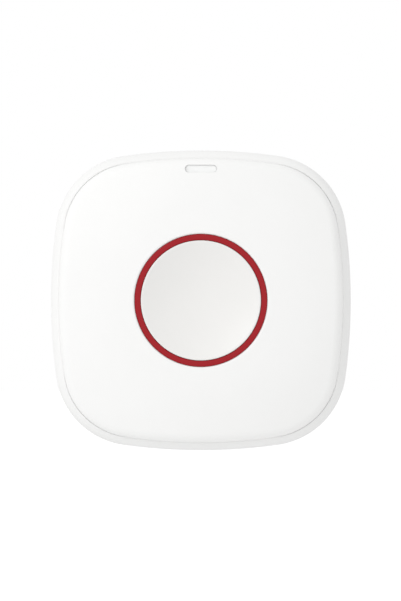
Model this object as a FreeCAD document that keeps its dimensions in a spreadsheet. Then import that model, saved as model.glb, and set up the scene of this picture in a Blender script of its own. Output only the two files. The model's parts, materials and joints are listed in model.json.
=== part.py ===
import FreeCAD, Part
import math
import os

import Sketcher

# Wall-mounted wireless panic button, in millimetres.
# Every piece is drawn lying on its back, with z out of the wall and y up, and
# is then stood upright, so that the finished part has +Z up and faces -Y.
# The origin is the middle of the bracket's wall face.

document = FreeCAD.newDocument("panic_button")

SIZES = {
    # Outline of the housing, seen from the front
    "case_width": 62.0,
    "side_bow_radius": 115.0,
    "corner_radius": 16.4,
    # Rear case
    "wall_gap": 0.5,
    "widest_height": 9.0,
    "widest_land": 1.0,
    "case_draft": 5.0,
    "back_edge_radius": 2.4,
    "shoulder_radius": 3.4,
    "seam_height": 11.9,
    "rim_lip": 0.25,
    "ledge_drop": 0.7,
    "cavity_step": 1.35,
    "rim_floor": 1.7,
    "recess_depth": 1.8,
    "recess_wall": 1.6,
    "recess_clearance": 0.3,
    "floor_thickness": 1.8,
    "corner_post_radius": 3.0,
    "corner_post_margin": 0.3,
    "corner_post_drop": 0.4,
    "corner_boss_gap": 0.1,
    "board_post_radius": 2.2,
    "board_post_step": 5.2,
    # Front cover
    "seam_gap": 0.04,
    "cover_wall": 1.28,
    "cover_skin": 1.8,
    "cover_rise": 6.1,
    "cover_corner_side": 1.4,
    "dome_radius": 200.0,
    "cover_edge_radius": 2.4,
    "cover_inner_radius": 1.0,
    "key_hole_edge": 0.4,
    "collar_width": 1.7,
    "collar_depth": 3.2,
    "carrier_post_radius": 2.2,
    "overcut": 1.0,
    # Gasket between the halves
    "seal_width": 0.7,
    "seal_step": 0.2,
    "seal_depth": 0.6,
    # Red ring
    "ring_inner_radius": 12.27,
    "ring_width": 1.2,
    "ring_gap": 0.05,
    "ring_drop": 0.2,
    "ring_edge_radius": 0.15,
    "ring_flange_width": 1.3,
    "ring_flange_thickness": 0.8,
    # Key
    "key_clearance": 0.07,
    "key_drop": 0.05,
    "key_rim_radius": 0.2,
    "key_rim_land": 0.05,
    "dish_radius": 30.0,
    "key_skin": 0.9,
    "key_skirt_wall": 1.2,
    "key_stem_radius": 5.0,
    "key_flange_width": 0.9,
    "key_flange_thickness": 0.65,
    "key_stop_gap": 0.05,
    "key_travel": 0.8,
    "key_tab_width": 2.0,
    "key_tab_length": 1.0,
    "key_room": 0.2,
    # Carrier behind the key
    "carrier_clearance": 0.4,
    "carrier_wall": 1.8,
    "carrier_depth": 3.0,
    "carrier_floor": 0.7,
    "carrier_opening": 8.0,
    "carrier_ear_thickness": 1.4,
    "carrier_ear_step": 2.1,
    "tab_clearance": 0.2,
    # Silicone membrane
    "membrane_flange": 0.55,
    "membrane_flange_inner": 9.6,
    "membrane_web": 0.4,
    "membrane_pad_radius": 6.4,
    "membrane_pad": 0.5,
    "membrane_nub_radius": 1.4,
    "membrane_clearance": 0.25,
    "touch_gap": 0.02,
    # Light window
    "window_length": 6.5,
    "window_width": 1.55,
    "window_margin": 0.93,
    "window_clearance": 0.05,
    "window_recess": 0.35,
    "light_guide_foot": 5.0,
    "light_guide_depth": 4.8,
    "light_guide_reach": 3.2,
    "light_guide_root": 0.6,
    "light_guide_fall": 0.9,
    "light_guide_tip": 1.4,
    "light_guide_gap": 0.3,
    # Coin cell
    "cell_radius": 12.25,
    "cell_thickness": 5.0,
    "cell_clearance": 0.35,
    "cell_room": 0.05,
    "cell_cap_radius": 10.9,
    "cell_cap_rise": 0.8,
    "cell_foot_radius": 0.4,
    "cell_crimp": 0.3,
    "cell_crimp_gap": 0.2,
    # Battery bay and door
    "bay_wall": 1.2,
    "bay_ring_wall": 2.0,
    "bay_ring_rise": 2.4,
    "door_plug_radius": 12.95,
    "door_clearance": 0.15,
    "door_head_radius": 14.2,
    "door_head_thickness": 0.7,
    "door_edge_radius": 0.25,
    "door_cup_clearance": 0.2,
    "door_base_thickness": 1.7,
    "door_rim_rise": 1.15,
    "door_lug_length": 1.35,
    "door_lug_thickness": 0.9,
    "door_lug_width": 5.0,
    "door_lug_clearance": 0.1,
    "door_lug_bite": 0.1,
    "door_seal_thickness": 0.4,
    "door_turn": 35.0,
    "coin_slot_length": 16.0,
    "coin_slot_width": 2.0,
    "coin_slot_depth": 0.9,
    # Battery contacts
    "contact_room": 0.6,
    "contact_thickness": 0.25,
    "contact_width": 4.0,
    "contact_margin": 1.9,
    "contact_reach": 3.6,
    "contact_bend": 2.0,
    "contact_tip": 0.8,
    "strip_bow": 0.5,
    "strip_foot": 2.6,
    "strip_touch": 1.6,
    "strip_end": 2.4,
    # Circuit board and what is on it
    "board_thickness": 1.0,
    "board_clearance": 1.6,
    "board_notch_clearance": 0.7,
    "switch_width": 6.2,
    "switch_height": 2.0,
    "switch_plate_thickness": 0.2,
    "switch_well_radius": 2.4,
    "switch_well_floor": 0.5,
    "plunger_radius": 1.7,
    "plunger_rise": 0.65,
    "plunger_flange": 0.45,
    "plunger_flange_thickness": 0.4,
    "plunger_clearance": 0.08,
    "snap_dome_thickness": 0.12,
    "switch_peg_radius": 0.35,
    "switch_peg_place": 2.45,
    "switch_peg_rise": 0.1,
    "switch_lead_place": 2.25,
    "switch_lead_width": 0.7,
    "switch_lead_thickness": 0.15,
    "switch_lead_root": 0.55,
    "switch_lead_neck": 0.3,
    "switch_lead_slope": 0.4,
    "switch_lead_foot": 0.8,
    "led_length": 1.6,
    "led_width": 0.8,
    "led_height": 0.7,
    "led_step": 2.5,
    "chip_width": 5.0,
    "chip_height": 0.9,
    "chip_edge": 0.1,
    "chip_margin": 4.2,
    "chip_along": 8.0,
    "parts_gap": 0.9,
    "crystal_length": 3.2,
    "crystal_width": 2.5,
    "crystal_height": 0.8,
    "crystal_edge": 0.15,
    "crystal_margin": 6.0,
    "capacitor_length": 1.6,
    "capacitor_width": 0.8,
    "capacitor_height": 0.8,
    "capacitor_pitch": 2.2,
    "antenna_wire_radius": 0.4,
    "antenna_rise": 1.6,
    "antenna_sweep": 130.0,
    # Screws
    "case_screw_radius": 1.0,
    "case_screw_head_radius": 1.9,
    "case_screw_head": 1.3,
    "case_screw_seat": 2.4,
    "case_screw_length": 10.4,
    "board_screw_radius": 0.8,
    "board_screw_head_radius": 1.6,
    "board_screw_head": 1.0,
    "board_screw_length": 5.0,
    "carrier_screw_length": 3.2,
    "screw_clearance": 0.2,
    "screw_edge_share": 0.35,
    "cross_reach_share": 0.6,
    "cross_width_share": 0.16,
    "cross_depth_share": 0.5,
    # Wall bracket
    "plate_radius": 23.2,
    "plate_thickness": 2.0,
    "plate_opening": 14.8,
    "plate_edge": 0.4,
    "wall_screw_radius": 2.1,
    "wall_screw_sink_radius": 3.7,
    "hook_across": 36.0,
    "hook_along": 19.2,
    "hook_width": 3.0,
    "hook_post": 1.4,
    "hook_lip": 2.2,
    "hook_lip_thickness": 1.0,
    "hook_lead_in": 0.35,
    "hook_clearance": 0.15,
    "hook_travel": 3.0,
    "slot_clearance": 0.2,
}

# Places that follow from the sizes
PLACES = {
    "bow_reach": "sizes.side_bow_radius - sizes.case_width / 2",
    "corner_middle": "(sqrt(2 * (sizes.side_bow_radius - sizes.corner_radius) ^ 2"
    " - places.bow_reach ^ 2) - places.bow_reach) / 2",
    "corner_reach": "places.corner_middle * sqrt(2) + sizes.corner_radius",
    "case_back": "sizes.wall_gap",
    "low_floor": "sizes.wall_gap + sizes.rim_floor",
    "recess_floor": "sizes.wall_gap + sizes.recess_depth",
    "floor_top": "sizes.wall_gap + sizes.recess_depth + sizes.floor_thickness",
    "ledge": "sizes.seam_height - sizes.ledge_drop",
    "seam_inset": "sizes.shoulder_radius - sqrt(sizes.shoulder_radius ^ 2"
    " - (sizes.seam_height - sizes.widest_height) ^ 2)",
    "rim_inset": "places.seam_inset + sizes.rim_lip",
    "cover_inset": "places.rim_inset + sizes.seam_gap",
    "cover_inner_inset": "places.cover_inset + sizes.cover_wall",
    "seal_inset": "places.rim_inset + sizes.seal_step",
    "cavity_inset": "places.rim_inset + sizes.cavity_step",
    "board_inset": "places.cavity_inset + sizes.board_clearance",
    "board_edge": "sizes.case_width / 2 - places.board_inset",
    "board_post_place": "sizes.case_width / 2 - places.cavity_inset - sizes.board_post_step",
    "case_screw_place": "(places.corner_reach - places.seal_inset - sizes.seal_width"
    " - sizes.corner_post_margin - sizes.corner_post_radius) / sqrt(2)",
    "corner_boss_radius": "places.corner_reach - places.cavity_inset - sizes.corner_boss_gap"
    " - places.case_screw_place * sqrt(2)",
    "plate_middle": "(sizes.plate_opening + sizes.plate_radius) / 2",
    "crown": "sizes.seam_height + sizes.cover_rise",
    "cover_corner": "places.corner_reach - places.cover_inset",
    "brow_start": "places.cover_corner / 2",
    "brow_turn": "asin(places.brow_start / sizes.dome_radius)",
    "brow_height": "places.crown - sizes.dome_radius * (1 - cos(places.brow_turn))",
    "brow_fall": "places.brow_height - sizes.seam_height - sizes.cover_corner_side",
    "brow_depth": "places.brow_fall * cos(places.brow_turn) - places.brow_start * sin(places.brow_turn)",
    "brow_radius": "(places.brow_start ^ 2 + places.brow_fall ^ 2) / (2 * places.brow_depth)",
    "brow_middle": "places.brow_start * (1 - places.brow_radius / sizes.dome_radius)",
    "brow_level": "places.brow_height - places.brow_radius * cos(places.brow_turn) - places.crown",
    "dome_reach": "places.corner_reach + sizes.overcut",
    "ring_outer_radius": "sizes.ring_inner_radius + sizes.ring_width",
    "key_hole_radius": "places.ring_outer_radius + sizes.ring_gap",
    "key_hole_top": "places.crown - sizes.dome_radius"
    " + sqrt(sizes.dome_radius ^ 2 - places.key_hole_radius ^ 2)",
    "ring_top": "places.key_hole_top - sizes.ring_drop",
    "collar_bottom": "places.crown - sizes.collar_depth",
    "ring_bottom": "places.collar_bottom - sizes.ring_flange_thickness",
    "key_radius": "sizes.ring_inner_radius - sizes.key_clearance",
    "key_top": "places.key_hole_top - sizes.key_drop",
    "dish_edge": "places.key_radius - sizes.key_rim_radius - sizes.key_rim_land",
    "dish_depth": "sizes.dish_radius - sqrt(sizes.dish_radius ^ 2 - places.dish_edge ^ 2)",
    "key_inner": "places.key_top - places.dish_depth - sizes.key_skin",
    "key_flange_top": "places.ring_bottom - sizes.key_stop_gap",
    "key_bottom": "places.key_flange_top - sizes.key_flange_thickness",
    "key_flange_radius": "places.key_radius + sizes.key_flange_width",
    "carrier_inner_radius": "places.key_flange_radius + sizes.carrier_clearance",
    "carrier_outer_radius": "places.carrier_inner_radius + sizes.carrier_wall",
    "carrier_bottom": "places.ring_bottom - sizes.carrier_depth",
    "carrier_seat": "places.carrier_bottom + sizes.carrier_floor",
    "carrier_ear_bottom": "places.ring_bottom - sizes.carrier_ear_thickness",
    "carrier_ear_place": "places.carrier_outer_radius + sizes.carrier_ear_step",
    "cell_back": "places.recess_floor + sizes.door_base_thickness + sizes.cell_room",
    "cell_front": "places.cell_back + sizes.cell_thickness",
    "board_back": "places.cell_front + sizes.contact_room",
    "board_front": "places.board_back + sizes.board_thickness",
    "post_top": "places.ledge - sizes.corner_post_drop",
    "switch_top": "places.board_front + sizes.switch_height",
    "switch_plate_top": "places.switch_top + sizes.switch_plate_thickness",
    "plunger_top": "places.switch_plate_top + sizes.plunger_rise",
    "plunger_bottom": "places.switch_top - sizes.plunger_flange_thickness",
    "well_floor": "places.board_front + sizes.switch_well_floor",
    "bay_radius": "sizes.cell_radius + sizes.cell_clearance",
    "door_opening": "sizes.door_plug_radius + sizes.door_clearance",
    "door_head_front": "places.recess_floor + sizes.door_head_thickness",
    "door_seal_front": "places.door_head_front + sizes.door_seal_thickness",
    "lug_back": "places.floor_top + sizes.door_lug_clearance",
    "lug_front": "places.lug_back + sizes.door_lug_thickness",
    "lug_radius": "sizes.door_plug_radius + sizes.door_lug_length",
    "lug_room_radius": "places.lug_radius + sizes.door_clearance",
    "bay_ring_radius": "places.lug_room_radius + sizes.bay_ring_wall",
    "hook_lip_back": "places.floor_top + sizes.hook_clearance",
    "hook_lip_front": "places.hook_lip_back + sizes.hook_lip_thickness",
    "window_back": "places.crown - sizes.light_guide_depth",
    "window_place": "sizes.case_width / 2 - places.cover_inner_inset - sizes.window_margin",
    "window_outer": "places.window_place + sizes.window_width / 2",
    "window_top": "places.crown + places.brow_level"
    " + sqrt(places.brow_radius ^ 2 - (places.window_outer - places.brow_middle) ^ 2)"
    " - sizes.window_recess",
    "led_top": "places.board_front + sizes.led_height",
    "led_place": "places.window_place - sizes.led_step",
    "chip_across": "places.board_edge - sizes.chip_margin",
    "crystal_across": "places.board_edge - sizes.crystal_margin",
    "crystal_along": "sizes.chip_along + (sizes.chip_width + sizes.crystal_width) / 2 + sizes.parts_gap",
    "capacitor_along": "sizes.chip_along - (sizes.chip_width + sizes.capacitor_width) / 2"
    " - sizes.parts_gap",
    "contact_root": "sizes.cell_cap_radius - sizes.contact_margin",
    "snap_rise": "places.plunger_bottom - places.well_floor",
    "snap_reach": "sizes.switch_well_radius - sizes.plunger_clearance",
    "snap_radius": "(places.snap_reach ^ 2 + places.snap_rise ^ 2) / (2 * places.snap_rise)",
    "antenna_radius": "(places.carrier_ear_place + sizes.carrier_post_radius"
    " + places.case_screw_place * sqrt(2) - sizes.corner_post_radius) / 2",
    "antenna_level": "places.board_front + sizes.antenna_rise",
    "antenna_start": "270 - sizes.antenna_sweep / 2",
}

# Keeps the radius of a half circle from falling short of half its chord
SLACK = "0.000001"
# Places closer than this count as the same
NEAR = 0.001


def fill_sheet(name, cells, lead=""):
    """Make a spreadsheet with one named value a row."""
    made = document.addObject("Spreadsheet::Sheet", name)
    for row, (alias, content) in enumerate(cells.items(), start=1):
        made.set(f"A{row}", alias)
        made.set(f"B{row}", f"{lead}{content}")
        made.setAlias(f"B{row}", alias)
    return made


sizes = fill_sheet("sizes", SIZES)
places = fill_sheet("places", PLACES, "=")
document.recompute()

upright = FreeCAD.Placement(
    FreeCAD.Vector(0, 0, 0), FreeCAD.Rotation(FreeCAD.Vector(1, 0, 0), 90)
)
finished = []


def number(expression):
    """The value of an expression of the sheets' names."""
    return float(sizes.evalExpression(expression))


def finish(label, made):
    """Name a finished piece and stand it upright."""
    made.Label = label
    made.Placement = upright
    finished.append(made)


def edges_where(shape, wanted):
    """Names of a shape's edges that pass a test."""
    return [f"Edge{i}" for i, edge in enumerate(shape.Edges, start=1) if wanted(edge)]


def level_edges(shape, height, reach=0):
    """Names of the edges that lie flat at a height, with all ends outside a reach."""

    def wanted(edge):
        box = edge.BoundBox
        flat = abs(box.ZMin - height) < NEAR and abs(box.ZMax - height) < NEAR
        return flat and min(math.hypot(v.X, v.Y) for v in edge.Vertexes) > reach

    return edges_where(shape, wanted)


class Drawing:
    """A sketch on one of its body's own planes, with every size bound to the sheets."""

    def __init__(self, body, name, role, height):
        planes = {f.Role: f for f in body.Origin.OriginFeatures}
        self.sketch = body.newObject("Sketcher::SketchObject", name)
        self.sketch.AttachmentSupport = [(planes[role], "")]
        self.sketch.MapMode = "FlatFace"
        if height:
            self.sketch.setExpression("AttachmentOffset.Base.z", height)

    def hold(self, kind, *where, to=None):
        """Add one constraint, bound to an expression where it has a size."""
        if to is None:
            self.sketch.addConstraint(Sketcher.Constraint(kind, *where))
            return
        index = self.sketch.addConstraint(Sketcher.Constraint(kind, *where, number(to)))
        self.sketch.setExpression(f"Constraints[{index}]", to)

    def place(self, piece, end, across, along):
        """Put a point of a line or arc at a place given by two expressions."""
        for kind, axis, where in (("DistanceX", -2, across), ("DistanceY", -1, along)):
            if where == "0":
                self.hold("PointOnObject", piece, end, axis)
            else:
                self.hold(kind, -1, 1, piece, end, to=where)

    def circle(self, radius, across="0", along="0"):
        """A circle about a point."""
        middle = FreeCAD.Vector(number(across), number(along), 0)
        made = self.sketch.addGeometry(
            Part.Circle(middle, FreeCAD.Vector(0, 0, 1), number(radius)), False
        )
        self.place(made, 3, across, along)
        self.hold("Radius", made, to=radius)
        return self

    def profile(self, points, arcs=None):
        """A closed line through points, where arcs gives a radius and a side for some spans."""
        arcs = arcs or {}
        ends = [FreeCAD.Vector(number(x), number(y), 0) for x, y in points]
        count = len(points)
        made = []
        for i in range(count):
            start, stop = ends[i], ends[(i + 1) % count]
            if i not in arcs:
                made.append((self.sketch.addGeometry(Part.LineSegment(start, stop), False), 1, 2))
                continue
            radius, side = arcs[i]
            chord = stop - start
            rise = math.sqrt(number(radius) ** 2 - chord.Length**2 / 4)
            across = FreeCAD.Vector(-chord.y, chord.x, 0).normalize() * side
            middle = (start + stop) * 0.5 + across * rise
            first, last = (start, stop) if side > 0 else (stop, start)
            turns = [math.atan2(p.y - middle.y, p.x - middle.x) for p in (first, last)]
            if turns[1] < turns[0]:
                turns[1] += 2 * math.pi
            circle = Part.Circle(middle, FreeCAD.Vector(0, 0, 1), number(radius))
            arc = self.sketch.addGeometry(Part.ArcOfCircle(circle, *turns), False)
            made.append((arc, 1, 2) if side > 0 else (arc, 2, 1))
            self.hold("Radius", arc, to=radius)
        for i in range(count):
            last, (piece, start, _) = made[i - 1], made[i]
            self.hold("Coincident", last[0], last[2], piece, start)
            self.place(piece, start, *points[i])
        return self

    def box(self, left, right, low, high):
        """A rectangle between four expressions."""
        return self.profile([(left, low), (right, low), (right, high), (left, high)])

    def stadium(self, length, width, along):
        """A slot with round ends, across the middle line."""
        end, half = f"({length} - ({width})) / 2", f"({width}) / 2"
        return self.profile(
            [
                (f"-({end})", f"{along} - {half}"),
                (end, f"{along} - {half}"),
                (end, f"{along} + {half}"),
                (f"-({end})", f"{along} + {half}"),
            ],
            {1: (f"{half} + {SLACK}", 1), 3: (f"{half} + {SLACK}", 1)},
        )

    def lengthened(self, radius, down):
        """A circle about the middle, lengthened downwards."""
        return self.profile(
            [
                (radius, "0"),
                (f"-({radius})", "0"),
                (f"-({radius})", f"-({down})"),
                (radius, f"-({down})"),
            ],
            {0: (f"{radius} + {SLACK}", 1), 2: (f"{radius} + {SLACK}", 1)},
        )

    def outline(self, inset="0"):
        """The housing's outline, four bowed sides and four corner arcs, drawn in by an inset."""
        bow, corner = number("sizes.side_bow_radius"), number("sizes.corner_radius")
        reach, drawn_in = number("places.bow_reach"), number(inset)
        middle = number("places.corner_middle")
        turn = math.degrees(math.atan2(middle, middle + reach))
        up = FreeCAD.Vector(0, 0, 1)
        sides, corners = [], []
        for quarter in range(4):
            spin = FreeCAD.Rotation(up, 90 * quarter)
            for centre, radius, start, sweep, kept in (
                (FreeCAD.Vector(-reach, 0, 0), bow, -turn, 2 * turn, sides),
                (FreeCAD.Vector(middle, middle, 0), corner, turn, 90 - 2 * turn, corners),
            ):
                circle = Part.Circle(spin.multVec(centre), up, radius - drawn_in)
                first = math.radians(start + 90 * quarter)
                arc = Part.ArcOfCircle(circle, first, first + math.radians(sweep))
                kept.append(self.sketch.addGeometry(arc, False))
        for quarter in range(4):
            following = sides[(quarter + 1) % 4]
            self.hold("Tangent", sides[quarter], 2, corners[quarter], 1)
            self.hold("Tangent", corners[quarter], 2, following, 1)
            if quarter:
                self.hold("Equal", sides[0], sides[quarter])
                self.hold("Equal", corners[0], corners[quarter])
        self.hold("Radius", sides[0], to=f"sizes.side_bow_radius - ({inset})")
        self.hold("Radius", corners[0], to=f"sizes.corner_radius - ({inset})")
        away = "-places.bow_reach"
        self.place(sides[0], 3, away, "0")
        self.place(sides[1], 3, "0", away)
        self.place(sides[2], 3, "places.bow_reach", "0")
        self.place(sides[3], 3, "0", "places.bow_reach")
        return self


class Piece:
    """A body that is built up feature by feature."""

    def __init__(self, name):
        self.name = name
        self.steps = 0
        self.body = document.addObject("PartDesign::Body", name)

    def draw(self, role="XY_Plane", height=None):
        """A new sketch on one of the body's planes."""
        self.steps += 1
        return Drawing(self.body, f"{self.name}_sketch_{self.steps}", role, height)

    def shape(self):
        """The body's shape so far."""
        document.recompute()
        return self.body.Shape

    def feature(self, kind, drawing, settings, sizes_bound):
        """Add one sketched feature, and make sure that it changes the body the right way."""
        before = self.body.Shape.Volume if self.body.Tip else 0.0
        self.steps += 1
        made = self.body.newObject(f"PartDesign::{kind}", f"{self.name}_{kind}_{self.steps}")
        made.Profile = drawing.sketch
        for key, setting in settings.items():
            setattr(made, key, setting)
        for key, expression in sizes_bound.items():
            made.setExpression(key, expression)
        document.recompute()
        grown = self.body.Shape.Volume - before
        cuts = kind in ("Pocket", "Groove", "Hole")
        if (grown >= 0) if cuts else (grown <= 0):
            raise RuntimeError(f"{made.Name} changed nothing")
        drawing.sketch.Visibility = False
        return made

    def pad(self, drawing, length, back=False, both=False):
        """Add material along the sketch's normal, or against it."""
        settings = {"SideType": "Symmetric"} if both else {"Reversed": back}
        return self.feature("Pad", drawing, settings, {"Length": length})

    def pocket(self, drawing, length, up=False):
        """Cut against the sketch's normal, or along it."""
        return self.feature("Pocket", drawing, {"Reversed": up}, {"Length": length})

    def revolve(self, drawing):
        """Turn a profile once round the sketch's upright axis."""
        axis = (drawing.sketch, ["V_Axis"])
        return self.feature("Revolution", drawing, {"ReferenceAxis": axis, "Angle": 360}, {})

    def groove(self, drawing):
        """Cut a profile that is turned once round the sketch's upright axis."""
        axis = (drawing.sketch, ["V_Axis"])
        return self.feature("Groove", drawing, {"ReferenceAxis": axis, "Angle": 360}, {})

    def dress(self, kind, edges, key, expression):
        """Round or bevel named edges of the body so far."""
        base = self.body.Tip
        self.steps += 1
        made = self.body.newObject(f"PartDesign::{kind}", f"{self.name}_{kind}_{self.steps}")
        made.Base = (base, edges)
        made.setExpression(key, expression)
        document.recompute()
        return made

    def fillet(self, edges, radius):
        """Round edges."""
        return self.dress("Fillet", edges, "Radius", radius)

    def chamfer(self, edges, size):
        """Bevel edges."""
        return self.dress("Chamfer", edges, "Size", size)

    def polar(self, originals, drawing, copies):
        """Repeat features round the sketch's normal."""
        self.steps += 1
        made = self.body.newObject("PartDesign::PolarPattern", f"{self.name}_ring_{self.steps}")
        made.Originals = originals
        made.Axis = (drawing.sketch, ["N_Axis"])
        made.Angle = 360
        made.Occurrences = copies
        self.body.Tip = made
        document.recompute()
        return made

    def done(self, label=None):
        """Finish the piece as a node of its own."""
        finish(label or self.name, self.body)


def four_ways(across, along):
    """The four mirrored places of a point."""
    return [(f"{a}{across}", f"{b}{along}") for a in ("", "-") for b in ("", "-")]


# Wall bracket: a round plate with a round opening, two countersunk screw holes
# and four hooks whose lips point up behind the rear case's floor.
bracket = Piece("wall_plate")
plate = bracket.draw().circle("sizes.plate_radius").circle("sizes.plate_opening")
bracket.pad(plate, "sizes.plate_thickness")
rim = level_edges(bracket.shape(), number("sizes.plate_thickness"), number("places.plate_middle"))
bracket.fillet(rim, "sizes.plate_edge")
wall_holes = bracket.draw(height="sizes.plate_thickness")
for side in ("", "-"):
    wall_holes.circle("sizes.wall_screw_radius", along=f"{side}places.plate_middle")
bracket.feature(
    "Hole",
    wall_holes,
    {
        "ThreadType": "None",
        "DepthType": "ThroughAll",
        "HoleCutType": "Countersink",
        "HoleCutCountersinkAngle": 90,
    },
    {
        "Diameter": "sizes.wall_screw_radius * 2",
        "HoleCutDiameter": "sizes.wall_screw_sink_radius * 2",
    },
)
hooks = bracket.draw(height="sizes.plate_thickness")
lips = bracket.draw(height="places.hook_lip_back")
half = "sizes.hook_width / 2"
for across, along in four_ways("sizes.hook_across / 2", "sizes.hook_along / 2"):
    left, right = f"{across} - {half}", f"{across} + {half}"
    low = f"{along} - sizes.hook_post / 2"
    top = f"{along} + sizes.hook_post / 2"
    hooks.box(left, right, low, top)
    lips.box(left, right, low, f"{top} + sizes.hook_lip")
bracket.pad(hooks, "places.hook_lip_front - sizes.plate_thickness")
bracket.pad(lips, "sizes.hook_lip_thickness")
lip_tops = [
    number(f"{side}sizes.hook_along / 2 + sizes.hook_post / 2 + sizes.hook_lip") for side in ("", "-")
]
lip_back = number("places.hook_lip_back")


def leads_in(edge):
    """Whether an edge is the lower edge of a lip's free end."""
    box = edge.BoundBox
    across = box.YMax - box.YMin < NEAR and box.ZMax - box.ZMin < NEAR
    return across and abs(box.ZMax - lip_back) < NEAR and min(abs(box.YMax - y) for y in lip_tops) < NEAR


bracket.chamfer(edges_where(bracket.shape(), leads_in), "sizes.hook_lead_in")
bracket.done()

# Rear case: a pan whose shoulder curls in to the seam, with the cover's ledge,
# the gasket groove, the bracket's recess, the battery bay and the screw posts.
rear = Piece("rear_case")
land = "sizes.widest_height - sizes.widest_land"
upper = rear.draw(height=land).outline()
rear.pad(upper, "sizes.widest_land + sizes.shoulder_radius")
top = number("sizes.widest_height + sizes.shoulder_radius")
rear.fillet(level_edges(rear.shape(), top), "sizes.shoulder_radius")
lower = rear.draw(height=land).outline()
drafted = rear.pad(lower, f"{land} - places.case_back", back=True)
drafted.setExpression("TaperAngle", "-sizes.case_draft")
rear.fillet(level_edges(rear.shape(), number("places.case_back")), "sizes.back_edge_radius")
rear.pocket(
    rear.draw(height="sizes.seam_height").circle("sizes.case_width"), "sizes.shoulder_radius", up=True
)
rear.pocket(rear.draw(height="sizes.seam_height").outline("places.rim_inset"), "sizes.ledge_drop")
rear.pocket(
    rear.draw(height="sizes.seam_height").outline("places.cavity_inset"),
    "sizes.seam_height - places.low_floor",
)
groove = rear.draw(height="places.ledge").outline("places.seal_inset")
rear.pocket(groove.outline("places.seal_inset + sizes.seal_width"), "sizes.seal_depth")
recess = "sizes.plate_radius + sizes.recess_clearance"
rear.pad(
    rear.draw(height="places.low_floor").lengthened(f"{recess} + sizes.recess_wall", "sizes.hook_travel"),
    "places.floor_top - places.low_floor",
)
rear.pocket(
    rear.draw(height="places.case_back").lengthened(recess, "sizes.hook_travel"),
    "sizes.recess_depth",
    up=True,
)
rear.pad(
    rear.draw(height="places.floor_top").circle("places.bay_radius + sizes.bay_wall").circle(
        "places.bay_radius"
    ),
    "places.board_back - places.floor_top",
)
rear.pad(
    rear.draw(height="places.floor_top").circle("places.bay_ring_radius").circle(
        "places.bay_radius + sizes.bay_wall / 2"
    ),
    "sizes.bay_ring_rise",
)
corner_posts = rear.draw(height="places.low_floor")
corner_holes = rear.draw(height="places.post_top")
corner_sinks = rear.draw(height="places.case_back")
for across, along in four_ways("places.case_screw_place", "places.case_screw_place"):
    corner_posts.circle("sizes.corner_post_radius", across, along)
    corner_holes.circle("sizes.case_screw_radius + sizes.screw_clearance", across, along)
    corner_sinks.circle("sizes.case_screw_head_radius + sizes.screw_clearance", across, along)
rear.pad(corner_posts, "places.post_top - places.low_floor")
rear.pocket(corner_holes, "places.post_top - places.case_back")
rear.pocket(corner_sinks, "sizes.case_screw_seat - places.case_back", up=True)
board_posts = rear.draw(height="places.floor_top")
board_holes = rear.draw(height="places.board_back")
for side in ("", "-"):
    board_posts.circle("sizes.board_post_radius", f"{side}places.board_post_place")
    board_holes.circle("sizes.board_screw_radius", f"{side}places.board_post_place")
rear.pad(board_posts, "places.board_back - places.floor_top")
rear.pocket(board_holes, "sizes.board_screw_length - sizes.board_thickness + sizes.screw_clearance")
rear.pocket(
    rear.draw(height="places.floor_top").circle("places.door_opening"),
    "sizes.floor_thickness",
)
rear.pocket(
    rear.draw(height="places.recess_floor").circle("sizes.door_head_radius + sizes.door_clearance"),
    "places.door_seal_front - places.recess_floor",
    up=True,
)
rear.groove(
    rear.draw("XZ_Plane").box(
        "places.bay_radius - sizes.cell_clearance",
        "places.lug_room_radius",
        "places.floor_top",
        "places.lug_front + sizes.door_lug_clearance",
    )
)
notch = rear.draw(height="places.floor_top").box(
    "0",
    "places.lug_room_radius",
    "-sizes.door_lug_width / 2 - sizes.door_clearance",
    "sizes.door_lug_width / 2 + sizes.door_clearance",
)
cut = rear.pocket(notch, "sizes.floor_thickness")
rear.polar([cut], notch, 3)
side_slot = rear.draw(height="places.board_back").box(
    "-sizes.contact_width / 2 - sizes.door_clearance",
    "sizes.contact_width / 2 + sizes.door_clearance",
    "places.bay_radius - sizes.cell_clearance",
    "places.bay_radius + sizes.bay_wall + sizes.slot_clearance",
)
rear.pocket(side_slot, "places.board_back - places.floor_top - sizes.bay_ring_rise")
hook_slots = rear.draw(height="places.floor_top")
for across, along in four_ways("sizes.hook_across / 2", "sizes.hook_along / 2"):
    hook_slots.box(
        f"{across} - {half} - sizes.slot_clearance",
        f"{across} + {half} + sizes.slot_clearance",
        f"{along} - sizes.hook_post / 2 - sizes.hook_travel - sizes.slot_clearance",
        f"{along} + sizes.hook_post / 2",
    )
rear.pocket(hook_slots, "sizes.floor_thickness")
rear.done()


def dome_cutter(piece, drop):
    """A profile that clears everything above the front's dome, which turns down at its brow."""
    reach = "places.dome_reach"
    low = f"sqrt(places.brow_radius ^ 2 - ({reach} - places.brow_middle) ^ 2)"
    above = "places.crown + sizes.overcut"
    return piece.draw("XZ_Plane").profile(
        [
            ("0", f"places.crown - {drop}"),
            ("places.brow_start", f"places.brow_height - {drop}"),
            (reach, f"places.crown + places.brow_level + {low} - {drop}"),
            (reach, above),
            ("0", above),
        ],
        {0: ("sizes.dome_radius", -1), 1: ("places.brow_radius", -1)},
    )


def top_edges(shape, low):
    """Names of the edges where a domed block's top meets its sides."""
    return edges_where(shape, lambda edge: edge.BoundBox.ZMin > low)


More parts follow.
